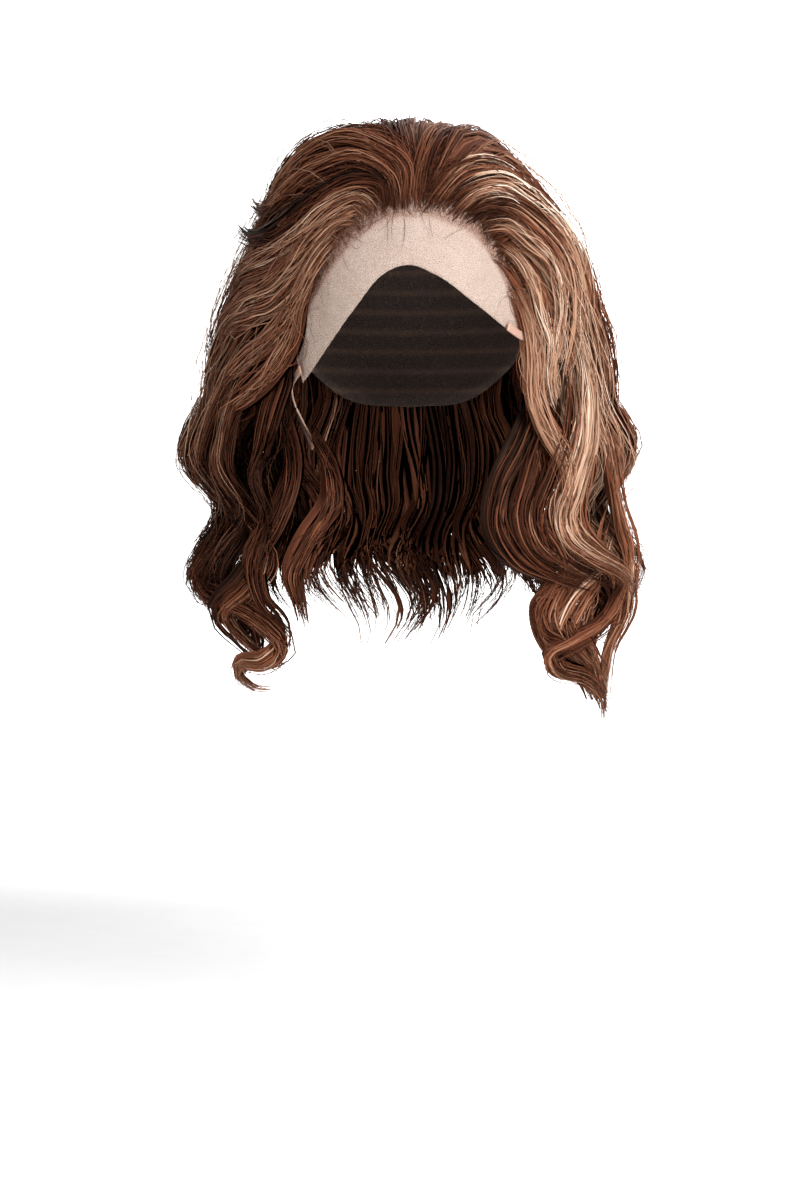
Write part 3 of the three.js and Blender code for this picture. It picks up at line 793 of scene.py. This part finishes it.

# %% [markdown]
# The lights were dyed in, so they have their places: the fan at the wearer's right and
# the swoop at the left are caramel, and the ends are faded. The under-layers, and the
# lower lengths by the face at the wearer's right, are darker with painted shade, and
# tips that hang inside the wig are lighter, partly with painted light. A table for each
# section says how light it is, painted shade included, and the rest is chance.

# %% Tones over the sections
ROOT_LIGHT = 0.4  # how much of a lock's own light its roots have
TONE_AT = (0.0, 0.1, 0.2, 0.35, 0.5, 0.7, 0.85, 1.0)  # places along, for the rows below
SECTION_TONES = {  # place across: tone at each place along
    # At the wearer's right the rows away from the parting dip from 0.7 to 0.85 along: painted shade on the
    # lower lengths by the face.
    "front_hair_right": {
        0.0: (0.34, 0.34, 0.34, 0.36, 0.38, 0.40, 0.50, 0.64),
        0.3: (0.40, 0.40, 0.38, 0.44, 0.48, 0.34, 0.28, 0.42),
        0.65: (0.48, 0.48, 0.46, 0.51, 0.52, 0.37, 0.25, 0.44),
        1.0: (0.50, 0.52, 0.48, 0.50, 0.46, 0.31, 0.22, 0.46),
    },
    "front_hair_left": {
        0.0: (0.32, 0.34, 0.36, 0.38, 0.40, 0.42, 0.50, 0.64),
        0.15: (0.32, 0.34, 0.38, 0.42, 0.42, 0.42, 0.44, 0.52),
        0.35: (0.34, 0.38, 0.44, 0.46, 0.44, 0.42, 0.44, 0.50),
        0.65: (0.40, 0.46, 0.56, 0.64, 0.64, 0.54, 0.48, 0.52),
        1.0: (0.40, 0.46, 0.54, 0.58, 0.46, 0.46, 0.46, 0.54),
    },
    # The ends of the crown, the back and the rows at the parting grow lighter: partly faded ends, partly
    # painted light on tips that hang in the shade inside the wig.
    "crown_hair": {0.0: (0.34, 0.36, 0.38, 0.40, 0.42, 0.44, 0.52, 0.68)},
    # The sides lie under the front hair by the neck: their dark tones are partly the hair's own and partly
    # painted shade.
    "side_hair_right": {0.0: (0.26, 0.26, 0.26, 0.26, 0.26, 0.28, 0.32, 0.40)},
    "side_hair_left": {0.0: (0.24, 0.24, 0.24, 0.24, 0.26, 0.30, 0.36, 0.44)},
    "back_hair": {0.0: (0.34, 0.36, 0.38, 0.40, 0.42, 0.46, 0.54, 0.68)},
}


def tone_of(rows, u, t, light, rng, own):
    """The tone along each path: its section's at that place, painted shade included, its lock's light with
    painted shade or light added, and a random shade of its own.
    """
    columns = np.stack([np.interp(t, TONE_AT, row) for row in rows.values()])
    places = np.array(list(rows))
    i = np.interp(u, places, np.arange(len(places)))
    low = np.minimum(i.astype(int), max(len(places) - 2, 0))
    high = np.minimum(low + 1, len(places) - 1)
    shade = np.take_along_axis(columns, low[None], 0)[0]
    shade = shade + (np.take_along_axis(columns, high[None], 0)[0] - shade) * (i - low)
    lengths = ROOT_LIGHT + (1 - ROOT_LIGHT) * smoothstep(t, 0.03, 0.3)
    return shade + (light[:, None] - 0.5) * lengths + rng.normal(0, own, (len(t), 1))


print("tones for", len(SECTION_TONES), "sections")

# %% [markdown]
# Now each section is combed. Flat cores fill the depth so that no light shows
# through; they are painted darker, as painted shade inside the hair. Ribbons and
# narrow wisps carry the locks' shape and colour, and fine strands break up their
# edges. Real hairs are far finer, but a tube for each would make millions of faces,
# and four widths of tube read as hair from where it is seen.

# %% Comb the sections
# locks, tresses in each, depth and sway (back, middle, face) in mm, steps along a hair,
# painted shade that darkens the hair deeper in (below 0, painted light that lightens it),
# span of the backing, and how many of each kind
COMBING = {
    "front_hair_right": (22, 6, 11, (9, 11, 14), 28, 0.1, (0, 0.96), (80, 160, 430, 320)),
    "front_hair_left": (22, 6, 11, (9, 11, 15), 28, 0.1, (0, 0.96), (80, 160, 430, 320)),
    "crown_hair": (9, 6, 11, (8, 8, 8), 26, 0.06, (0, 1), (27, 60, 190, 120)),
    "side_hair_right": (8, 5, 13, (8, 8, 8), 20, 0.05, (0.1, 1), (24, 44, 140, 48)),
    "side_hair_left": (8, 5, 13, (8, 8, 8), 20, 0.05, (0.1, 1), (24, 44, 140, 48)),
    "back_hair": (9, 5, 13, (9, 9, 9), 24, -0.08, (0, 1), (36, 60, 200, 64)),
}
# half width, half thickness in mm, sides, looseness in mm, shortest, share of the depth,
# degrees that the roots lie behind, and own shade
KINDS = {
    "cores": (4.0, 0.7, 4, 0.3, 0.7, (0.45, 0.7), (20, 32), 0.02),
    "ribbons": (2.6, 0.5, 3, 0.8, 0.8, (0.08, 0.95), (6, 26), 0.04),
    "wisps": (0.75, 0.35, 3, 1.2, 0.9, (0.0, 1.0), (3, 24), 0.06),
    "strands": (0.22, 0.22, 3, 2.1, 0.86, (-0.06, 0.4), (-1, 14), 0.1),
}
COMB_SEED, LOCK_SEED = 100, 200
CORE_CLEAR, HAIR_CLEAR = 2.2 * MM, 0.6 * MM
CORE_START, HAIR_START = 0.05, 0.3  # how thin the roots are
# how much a core draws to its tress, and the painted shade that makes the cores darker
CORE_HOLD, CORE_PAINTED_SHADE = 0.2, 0.06
WISP_CROWD = 1.3  # above 1, more of them lie near the surface


def hair_piece(name, paths, half_width, half_thick, sides, lean, tones, rng, facing=(0, 0, 0), node=None):
    """Skins paths, keeps them as one piece of hair and counts its triangles."""
    rings, up = skin(paths, half_width, half_thick, sides, lean, facing)
    mesh = tube_mesh(name, rings, up, tones, rng)
    settle(add_object(mesh, hair), node)
    return len(mesh.loops) - 2 * len(mesh.polygons)


total = 0
for seed, (name, row) in enumerate(COMBING.items()):
    count, tresses, thick, sway, steps, shade, backing, amounts = row
    rng = np.random.default_rng(COMB_SEED + seed)
    sheet = sheets[name]
    locks = lay_locks(sheet, count, tresses, sway, LOCK_SEED + seed)
    for many, (kind, form) in zip(amounts, KINDS.items()):
        wide, thin, sides, loose, shortest, layer, behind, own = form
        core = kind == "cores"
        span = backing if kind in ("cores", "ribbons") else (0, 1)
        tress = (np.linspace(*span, many, endpoint=False) * count * tresses).astype(int)
        crowd = WISP_CROWD if kind == "wisps" else 1
        depth = rng.uniform(0, 1, many) ** crowd * (layer[1] - layer[0]) + layer[0]
        back = rng.uniform(*behind, many)
        hold = rng.uniform(0.15, 0.8, many) * (CORE_HOLD if core else 1)
        deep, grow = depth * thick * MM, CORE_CLEAR if core else HAIR_CLEAR
        laid = lay_paths(sheet, locks, tress, rng, steps, deep, back, hold, loose, shortest, grow)
        paths, t, u, lean = laid
        along = t / t[:, -1:]
        thinnest = CORE_START if core else HAIR_START
        body = thinnest + (1 - thinnest) * smoothstep(along, 0, 0.15)
        body = body * (1 - 0.88 * smoothstep(along, 0.76, 1.0))
        body = body * MM * rng.uniform(0.6, 1.3, (many, 1))
        light = 0.5 + (smoothstep(locks["light"][tress], 0.1, 0.9) - 0.5) * 0.34 + locks["shade"][tress]
        # Painted shade: hair deeper in the section is darker (below 0, as at the back, painted light makes
        # it lighter), and so are the edges of each lock, the valleys between locks.
        light = light - shade * smoothstep(depth, 0.15, 0.7) - 0.12 * locks["aside"][tress] ** 2
        tones = tone_of(SECTION_TONES[name], u, t, light - (CORE_PAINTED_SHADE if core else 0), rng, own)
        piece, node = name + "_" + kind, name if core else None
        total += hair_piece(piece, paths, wide * body, thin * body, sides, lean, tones, rng, node=node)
    print(name, count, "locks with", amounts, "cores, ribbons, wisps and strands")
print("hair triangles so far:", total)

# %% [markdown]
# Over the combed sections lie locks with a way of their own: locks swept from the
# hairline to each side, with ends that flick out, and below them curls by the face.
# A sheet cannot curl back on itself, so each is a bundle along a short line of stations,
# flat like a ribbon. Its hairs start one after the other, so that the lock grows out of
# the hair under it.

# %% Bundles along a line
LOCK_TRESSES, LOCK_RIBBONS = 9, 8
LINE_STEPS = 200
FORWARD = (0, -1, 0)
# half width, half thickness and looseness in mm, of ribbons, wisps and strands
LOCK_KINDS = np.array([(2.6, 0.5, 0.8), (0.6, 0.35, 1.2), (0.22, 0.22, 2.3)]) * MM
STRAY_SHARE, STRAY_LOOSE = 0.25, 2.5  # how many strands stray, and how much looser they are


def bends(line, steps):
    """Places along a line, closer together where it bends."""
    along = unit(np.gradient(line, axis=0))
    turn = np.arccos(np.clip((along[1:] * along[:-1]).sum(-1), -1, 1))
    weight = np.concatenate([[0], np.cumsum(0.5 / len(turn) + 0.5 * turn / turn.sum())])
    return np.interp(np.linspace(0, 1, steps + 1), weight, np.linspace(0, 1, len(line)))


def lay_lock(name, row, steps, late, rng):
    """A bundle of wisps and strands along a line of stations; late is how far its starts spread."""
    half_wide, half_deep, wisps, strands, row_tones, stations = row
    many = LOCK_RIBBONS + wisps + strands
    kind = np.repeat([0, 1, 2], [LOCK_RIBBONS, wisps, strands])[:, None]
    middle = even_path(np.array(stations) * MM, np.linspace(0, 1, LINE_STEPS + 1))
    begin, end = rng.uniform(0, late, (many, 1)), rng.uniform(0.85, 1.0, (many, 1))
    t = begin + (end - begin) * bends(middle, steps)[None]
    along = unit(np.gradient(middle, axis=0))
    facing = unit(unit(middle - FORM_MIDDLE) + np.array(FORWARD))
    side = unit(np.cross(along, facing))
    here = np.minimum((t * LINE_STEPS).astype(int), LINE_STEPS - 1)
    part = (t * LINE_STEPS - here)[..., None]
    at = middle[here] * (1 - part) + middle[here + 1] * part
    tress = rng.integers(0, LOCK_TRESSES, (many, 1))
    x = rng.normal(0, 0.5, LOCK_TRESSES)[tress] + rng.normal(0, 0.2, (many, 1))
    tint = rng.normal(0, 0.09, LOCK_TRESSES)[tress]
    tint = tint - tint.mean()
    d = np.where(kind == 0, rng.uniform(-1.4, -0.6, (many, 1)), rng.uniform(-1, 1, (many, 1)))
    twist = 0.5 * np.sin(3 * t + rng.uniform(0, 6)) + rng.normal(0, 0.2, (many, 1)) * t
    swell = (1 - 0.5 * smoothstep(t, 0.6, 1.0)) * MM
    aside = swell * half_wide * (x * np.cos(twist) - d * 0.4 * np.sin(twist))
    raised = swell * half_deep * (d * np.cos(twist) + x * 0.6 * np.sin(twist))
    at = at + side[here] * aside[..., None] + facing[here] * raised[..., None]
    wide, thin, loose = (LOCK_KINDS[kind, column] for column in range(3))
    stray = (kind == 2) & (rng.uniform(0, 1, (many, 1)) < STRAY_SHARE)
    loose = loose * np.where(stray, STRAY_LOOSE, 1)
    at = reel(at, t + 0.15, loose[..., None], rng)
    at = clear_form(at, CAP_WALL + HAIR_CLEAR)
    body = (0.1 + 0.9 * smoothstep(t - begin, 0, 0.2)) * (1 - 0.85 * smoothstep(t / end, 0.75, 1.0))
    body = body * rng.uniform(0.6, 1.3, (many, 1))
    tones = np.interp(t, np.linspace(0, 1, len(row_tones)), row_tones)
    # Painted shade: hairs lower in the bundle are darker and those on top lighter; the tint and the random
    # part are the hairs' own tones.
    tones = tones + tint + rng.normal(0, 0.06, (many, 1)) + 0.06 * d
    lean = np.clip(x, -1, 1)[..., None] * side[here]
    return hair_piece("lock_" + name, at, wide * body, thin * body, 3, lean, tones, rng, FORWARD)


# %% [markdown]
# No formula gives the way of such a lock, so the lines stay a list. They were read from
# a photo by eye, in pixels, and turned into millimetres outside this script, with the
# depths of most swept locks found on the hair under them. Some stations were then
# moved. A line needs a station where it bends and none where it runs straight.

# %% Swept locks
# half width and half depth in mm, wisps, strands, tones along it, stations in mm
SWEPT_LOCKS = {
    "centre": (10, 3, 44, 26, (0.34, 0.42), [
        (0, -84, -47), (-2, -68, -23), (-5, -50, -4), (-7, -24, 7), (-6, 12, 11), (-2, 56, 8),
        (0, 90, -14), (0, 112, -50)]),
    "right_centre": (8, 3, 34, 20, (0.32, 0.42), [
        (-4, -84, -47), (-7, -68, -22), (-15, -50, -3), (-22, -26, 5), (-27, 8, 8), (-29, 54, 5),
        (-30, 89, -18), (-32, 108, -54)]),
    "left_centre": (8, 3, 34, 20, (0.36, 0.46), [
        (4, -84, -47), (7, -68, -22), (13, -50, -3), (19, -26, 5), (25, 8, 8), (28, 54, 5),
        (30, 89, -18), (32, 108, -54)]),
    # painted shade: a dark lock laid in the valley between the light locks
    "left_shade": (6, 3, 36, 14, (0.26, 0.3, 0.34, 0.32), [
        (12, -83, -47), (28, -71, -27), (45, -62, -22), (62, -52, -28), (78, -32, -40),
        (92, -12, -55), (100, 0, -72)]),
    "right_top": (9, 3, 36, 24, (0.34, 0.44), [
        (-3, -84, -47), (-2, -62, -15), (-16, -48, -2), (-38, -38, 0), (-53, -24, -3),
        (-63, -18, -9), (-71, -14, -19), (-83, -8, -39), (-95, 0, -61)]),
    "right_band": (9, 3, 36, 24, (0.38, 0.5), [
        (-6, -84, -47), (-6, -71, -24), (-22, -58, -11), (-38, -48, -6), (-54, -40, -11),
        (-66, -34, -21), (-75, -30, -34), (-82, -20, -40), (-89, -8, -38)]),
    "right_arc": (8, 3, 34, 24, (0.38, 0.44), [
        (-10, -84, -48), (-13, -75, -29), (-31, -64, -18), (-49, -56, -22), (-66, -48, -31),
        (-78, -34, -40), (-87, -18, -40), (-93, -8, -34)]),
    # painted shade: a dark lock along a valley between lighter locks
    "right_shade": (8, 3, 36, 20, (0.24, 0.2, 0.14), [
        (-14, -83, -49), (-15, -78, -33), (-31, -72, -30), (-52, -68, -40), (-70, -57, -52),
        (-84, -38, -58), (-96, -16, -54), (-101, -4, -47)]),
    "right_fan_a": (9, 3, 36, 28, (0.56, 0.52), [
        (-20, -82, -50), (-28, -79, -42), (-43, -76, -48), (-57, -69, -60), (-72, -58, -69),
        (-88, -37, -75), (-99, -18, -80), (-104, -8, -92)]),
    "right_fan_b": (9, 3, 36, 28, (0.57, 0.52), [
        (-28, -79, -51), (-40, -78, -52), (-53, -70, -64), (-64, -64, -76), (-81, -50, -87),
        (-95, -30, -92), (-105, -14, -102), (-110, -6, -116)]),
    "right_fan_c": (9, 3, 36, 28, (0.56, 0.5), [
        (-40, -76, -57), (-51, -75, -69), (-61, -67, -84), (-73, -58, -96), (-89, -38, -102),
        (-104, -14, -108), (-110, -6, -122)]),
    "right_fan_d": (9, 3, 36, 28, (0.55, 0.5), [
        (-49, -72, -68), (-57, -70, -86), (-66, -60, -103), (-78, -50, -117), (-93, -30, -128),
        (-106, -14, -140), (-111, -6, -158)]),
    "right_fan_e": (9, 3, 36, 28, (0.52, 0.46), [
        (-57, -66, -82), (-62, -64, -98), (-68, -55, -119), (-78, -44, -134), (-91, -30, -146),
        (-106, -18, -158), (-117, -8, -172)]),
    "left_blonde": (9, 3, 36, 34, (0.36, 0.62, 0.88, 0.88, 0.62, 0.42), [
        (4, -84, -47), (20, -68, -25), (34, -58, -14), (50, -50, -16), (66, -39, -29),
        (81, -14, -41), (93, 4, -55), (103, 18, -73), (108, 24, -96)]),
    "left_light": (9, 3, 36, 34, (0.36, 0.64, 0.84, 0.74, 0.46, 0.42), [
        (18, -82, -48), (35, -72, -32), (53, -63, -28), (69, -46, -36), (85, -24, -48),
        (96, -14, -64), (102, -8, -82), (105, -2, -100), (110, 4, -125)]),
    # its dark start is painted shade, the valley under the blonde arc; its caramel end is dyed
    "left_low": (8, 3, 36, 24, (0.2, 0.18, 0.3, 0.54, 0.6, 0.54), [
        (28, -79, -49), (44, -73, -41), (59, -65, -44), (75, -48, -54), (88, -28, -68),
        (96, -15, -86), (100, -6, -105), (105, 0, -128)]),
    "left_thick": (10, 4, 42, 28, (0.54, 0.64, 0.72), [
        (36, -75, -52), (54, -69, -49), (70, -55, -58), (84, -32, -71), (90, -22, -91),
        (90, -16, -112), (86, -20, -133), (87, -23, -154), (92, -22, -175)]),
    "left_temple": (8, 3, 36, 28, (0.54, 0.64, 0.62), [
        (48, -71, -62), (61, -64, -71), (71, -53, -86), (76, -43, -103), (81, -30, -119),
        (80, -28, -137), (84, -26, -154), (94, -27, -170)]),
    "left_loose": (7, 3, 36, 30, (0.5, 0.58, 0.56, 0.52), [
        (57, -65, -86), (62, -62, -92), (69, -50, -110), (72, -45, -127), (73, -43, -145),
        (79, -46, -164), (89, -52, -184), (90, -59, -204), (86, -65, -224)]),
    "left_rim": (8, 3, 34, 24, (0.36, 0.3), [
        (90, 0, -52), (102, 6, -76), (106, 8, -97), (112, 12, -114), (116, 16, -131),
        (117, 16, -149), (114, 12, -168)]),
}
LINE_SEED = 300
SWEPT_STEPS, SWEPT_LATE = 22, 0.15
rng = np.random.default_rng(LINE_SEED)
for name, row in SWEPT_LOCKS.items():
    total += lay_lock(name, row, SWEPT_STEPS, SWEPT_LATE, rng)
print(len(SWEPT_LOCKS), "swept locks")

# %% Curls by the face
# in the same columns as the swept locks
FACE_LOCKS = {
    "left_middle": (9, 4, 38, 20, (0.16, 0.2, 0.36, 0.38), [
        (84, 0, -120), (83, -30, -160), (74, -50, -192), (67, -58, -214), (72, -63, -232),
        (88, -60, -245), (106, -54, -252)]),
    "left_swoop": (11, 5, 84, 46, (0.58, 0.64, 0.56, 0.42), [
        (90, 12, -98), (98, -14, -133), (97, -40, -172), (88, -55, -198), (82, -61, -214),
        (86, -64, -229), (100, -59, -240), (117, -50, -249), (129, -38, -264)]),
    "left_wide": (10, 4, 46, 24, (0.5, 0.52, 0.42), [
        (98, 6, -118), (103, -20, -152), (98, -42, -184), (92, -52, -208), (95, -55, -226),
        (109, -50, -240), (125, -40, -254)]),
    "left_mass": (13, 5, 46, 20, (0.44, 0.48), [
        (122, -8, -222), (113, -28, -248), (98, -46, -265), (91, -53, -282), (100, -52, -296),
        (111, -47, -308)]),
    "left_fill": (9, 4, 40, 20, (0.44, 0.46), [
        (128, -12, -240), (114, -24, -258), (105, -34, -274), (102, -44, -292), (106, -48, -310),
        (113, -46, -328)]),
    "left_inside": (9, 4, 40, 20, (0.3, 0.44), [
        (104, -36, -232), (88, -50, -254), (80, -55, -271), (87, -55, -288), (99, -50, -302),
        (106, -48, -320)]),
    # painted shade: the dark underside of the hair beside the neck
    "left_under": (9, 5, 40, 14, (0.1, 0.14, 0.26), [
        (80, -16, -138), (67, -42, -173), (54, -54, -199), (51, -58, -219), (61, -61, -238),
        (82, -60, -250), (103, -56, -257)]),
    "left_end": (7, 4, 46, 30, (0.42, 0.4, 0.46), [
        (130, -12, -230), (124, -28, -253), (111, -46, -275), (91, -58, -287), (79, -62, -293),
        (82, -62, -301), (99, -56, -307), (108, -51, -318), (111, -50, -335)]),
    "left_outer": (5, 4, 32, 24, (0.42, 0.5), [
        (106, 8, -138), (115, -4, -178), (121, -16, -216), (126, -20, -237), (124, -30, -258),
        (122, -32, -273), (113, -39, -292), (110, -44, -313), (110, -46, -332)]),
    "left_small": (5, 3, 30, 20, (0.34, 0.4), [
        (102, -50, -241), (82, -56, -256), (72, -59, -267), (75, -59, -279), (88, -57, -287),
        (98, -54, -298)]),
    "right_curl": (9, 5, 54, 32, (0.3, 0.44, 0.56), [
        (-119, 8, -219), (-123, -10, -242), (-116, -30, -262), (-97, -47, -268), (-82, -56, -278),
        (-73, -61, -289), (-82, -60, -297), (-94, -52, -298), (-97, -49, -305), (-88, -52, -313),
        (-76, -56, -314)]),
    "right_fill": (10, 6, 44, 14, (0.18, 0.24), [
        (-112, 10, -215), (-116, -12, -240), (-104, -32, -258), (-92, -42, -274), (-88, -50, -290),
        (-92, -50, -304)]),
    # painted shade: dark where this hair lies in shadow by the face
    "right_inner": (6, 3, 34, 24, (0.22, 0.34), [
        (-63, -14, -161), (-47, -44, -190), (-47, -55, -210), (-59, -61, -229), (-67, -63, -248),
        (-63, -61, -264), (-59, -58, -280)]),
    "right_under": (8, 4, 40, 24, (0.18, 0.2, 0.34, 0.46), [
        (-114, 12, -167), (-106, -16, -201), (-86, -44, -223), (-79, -57, -240), (-90, -54, -258),
        (-103, -48, -271), (-93, -54, -285), (-79, -57, -296), (-65, -58, -303)]),
    # painted shade: dark where this hair lies in shadow by the face
    "right_dark": (8, 4, 40, 14, (0.18, 0.26), [
        (-77, -10, -150), (-67, -42, -188), (-75, -53, -216), (-88, -58, -240), (-84, -60, -262),
        (-71, -61, -278), (-70, -58, -292)]),
}
FACE_STEPS, FACE_LATE = 28, 0.3
for name, row in FACE_LOCKS.items():
    total += lay_lock(name, row, FACE_STEPS, FACE_LATE, rng)
print(len(FACE_LOCKS), "curls by the face")

# %% [markdown]
# At the hairline the hair is tied into the lace one fine hair at a time, so the edge
# is soft: short new hairs lean back and aside from it, and a few curl down. They are
# too short for a sheet, so each walks over the form from its root by a formula.

# %% Fine hairs at the hairline
FINE_SEED, FINE_HAIRS, FINE_STEPS = 400, 340, 9
FINE_SPAN, FINE_LENGTH = (-61, 57), (10, 28)  # in degrees
FINE_HALF_WIDTH, FINE_TONE = 0.13 * MM, 0.34
FALLING_SHARE, FALLING_LENGTH = 0.05, -0.6  # the few that curl down, and how long they are
rng = np.random.default_rng(FINE_SEED)
each = (FINE_HAIRS, 1)
azimuth = rng.uniform(*FINE_SPAN, each)
start_angle = angle_at(level(HAIRLINE, azimuth[:, 0]))[:, None] + rng.normal(0.2, 1.4, each)
t = np.linspace(0, 1, FINE_STEPS + 1)[None] * np.ones(each)
length = rng.uniform(*FINE_LENGTH, each)
length = length * np.where(rng.uniform(0, 1, each) < FALLING_SHARE, FALLING_LENGTH, 1)
turn = azimuth * 0.012 + rng.normal(0, 0.5, each) + rng.normal(0, 0.6, each) * t
at = form_point(
    azimuth + length * t * np.sin(turn) * 0.8,
    start_angle - length * t * np.cos(turn),
    LACE_WALL + (0.3 + rng.uniform(0.5, 5.0, each) * t**1.5) * MM,
)
body = FINE_HALF_WIDTH * (1 - 0.7 * smoothstep(t, 0.5, 1)) * rng.uniform(0.7, 1.2, each)
tones = FINE_TONE + rng.normal(0, 0.08, each) + 0 * t
total += hair_piece("hairline_hairs", at, body, body, 3, 0 * at, tones, rng)
print(FINE_HAIRS, "fine hairs at the hairline")

# %% [markdown]
# No comb catches every hair, and a few stand off the rest. They follow the same sheets
# as their section, but lie above it and hold to no tress.

# %% Loose hairs
LOOSE_SEED, LOOSE_LOCKS, LOOSE_STEPS = 500, 30, 30
LOOSE_SWAY = (10, 11, 12)  # at the back, the middle and the face, in mm
LOOSE_HALF_WIDTH, LOOSE_CLEAR, LOOSE_LIGHT = 0.19 * MM, 0.3 * MM, 0.64
LOOSE_HAIRS = {  # how many, the first lock they leave, stand off and looseness in mm
    "front_hair_right": (90, 7, 8.0, 4.5),
    "front_hair_left": (90, 7, 8.0, 4.5),
    "crown_hair": (30, 0, 4.0, 3.5),
}
for name, (many, first, stand_off, loose) in LOOSE_HAIRS.items():
    sheet = sheets[name]
    locks = lay_locks(sheet, LOOSE_LOCKS, 1, LOOSE_SWAY, LOOSE_SEED)
    deep = -rng.uniform(0.5, stand_off, many) * MM
    lock = rng.integers(first, LOOSE_LOCKS, many)
    back, hold = rng.uniform(0, 20, many), np.zeros(many)
    laid = lay_paths(sheet, locks, lock, rng, LOOSE_STEPS, deep, back, hold, loose, 0.5, LOOSE_CLEAR)
    paths, t, u, lean = laid
    body = LOOSE_HALF_WIDTH * (1 - 0.6 * smoothstep(t / t[:, -1:], 0.6, 1))
    body = body * rng.uniform(0.7, 1.2, (many, 1))
    tones = tone_of(SECTION_TONES[name], u, t, np.full(many, LOOSE_LIGHT), rng, 0.08)
    total += hair_piece(name + "_loose", paths, body, body, 3, lean, tones, rng)
print("hair triangles in all:", total)

# %% [markdown]
# The stage is a plain pale sweep: a floor that curves up into the backdrop, so that no
# corner shows. A large soft key stands at the viewer's right and a weaker fill at the
# left. A light above and behind gives the hair its bright edge, a low one lifts the
# under-layers, and one more keeps the backdrop white.

# %% Stage and light
FLOOR_LEVEL, FLOOR_DEPTH = -0.53, 5.4
SWEEP_LENGTH, SWEEP_HALF_WIDTH = 9.0, 4
SWEEP_COLUMNS, SWEEP_ROWS = 2, 48
WIG_MIDDLE = (0, 0, -0.15)
LAMPS = {  # place, size, watts and aim
    "key": ((1.1, -1.25, 0.55), 0.8, 46, WIG_MIDDLE),
    "fill": ((-1.2, -1.4, 0.3), 1.4, 12, WIG_MIDDLE),
    "edge": ((0.3, 1.0, 1.1), 0.9, 2.5, WIG_MIDDLE),
    "low": ((0, -1.1, -0.5), 0.5, 3, (0, 0.1, -0.24)),
    "backdrop": ((0, 1.6, 1.3), 1.6, 110, (0, 3.7, 0.1)),
}
ROOM_LIGHT = 0.55


def sweep_place(x, y):
    s = (y + 1) / 2 * SWEEP_LENGTH
    turn = np.clip(s - FLOOR_DEPTH, 0, np.pi / 2)
    back = np.minimum(s, FLOOR_DEPTH) + np.sin(turn)
    rise = (1 - np.cos(turn)) + np.maximum(s - FLOOR_DEPTH - np.pi / 2, 0)
    return np.stack([x * SWEEP_HALF_WIDTH, back - FLOOR_DEPTH / 2, FLOOR_LEVEL + rise], -1)


white, start, feed = new_material("paper sweep", Roughness=0.9)
grain = start.node("TexCoord", output="Object").noise(40.0, 4.0)
feed("Base Color", grain.mix((0.86, 0.86, 0.86, 1), (0.9, 0.9, 0.9, 1)))
mesh = mesh_of("sweep", wrapped_grid(SWEEP_COLUMNS, SWEEP_ROWS, sweep_place))
sweep = add_object(mesh, white)
sweep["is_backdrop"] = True
for name, (spot, size, watts, aim) in LAMPS.items():
    lamp = bpy.data.lights.new(name, "AREA")
    lamp.size, lamp.energy = size, watts
    made = bpy.data.objects.new(name, lamp)
    made.location = spot
    made.rotation_euler = (Vector(aim) - Vector(spot)).to_track_quat("-Z", "Y").to_euler()
    made.visible_camera = False
    bpy.context.scene.collection.objects.link(made)
world = bpy.data.worlds.new("white room")
world.use_nodes = True
background = world.node_tree.nodes["Background"]
background.inputs["Color"].default_value = (1, 1, 1, 1)
background.inputs["Strength"].default_value = ROOM_LIGHT
bpy.context.scene.world = world
bpy.context.scene.view_settings.view_transform = "Standard"
print(len(LAMPS), "lamps over a sweep of", len(mesh.polygons), "faces")

# %% [markdown]
# The camera stands level, straight in front. Turning it to fit the picture would lean
# the uprights, so the lens is shifted instead, as on a view camera. Its length follows
# from the distance and from how many millimetres one pixel of the picture covers.

# %% Camera
SENSOR = 36
PHOTO_WIDTH, PHOTO_HEIGHT = 800, 1201
MM_PER_PIXEL = 0.58
CAMERA_DISTANCE, CAMERA_LEVEL = 1.65, -0.19
LEVEL_AT = (409, 470)  # the pixel that the camera looks straight at
camera = bpy.data.cameras.new("camera")
camera.sensor_width = SENSOR
camera.lens = SENSOR * CAMERA_DISTANCE / (PHOTO_HEIGHT * MM_PER_PIXEL * MM)
camera.shift_x = (PHOTO_WIDTH / 2 - LEVEL_AT[0]) / PHOTO_HEIGHT
camera.shift_y = (LEVEL_AT[1] - PHOTO_HEIGHT / 2) / PHOTO_HEIGHT
viewer = bpy.data.objects.new("camera", camera)
viewer.location = (0, -CAMERA_DISTANCE, CAMERA_LEVEL)
viewer.rotation_euler = (np.pi / 2, 0, 0)
bpy.context.scene.collection.objects.link(viewer)
bpy.context.scene.camera = viewer
print("lens of", round(camera.lens), "mm at", CAMERA_DISTANCE, "m")

# %% [markdown]
# The cap and the lace are cloth, held stretched by the seam between them; the area of
# each was printed when it was made. Last, the boxes of the solids and of the dressed wig
# are printed.

final_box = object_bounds()
for label, box in (("solids", solid_box), ("scene", final_box)):
    print(label, [tuple(round(v, 3) for v in corner) for corner in box])
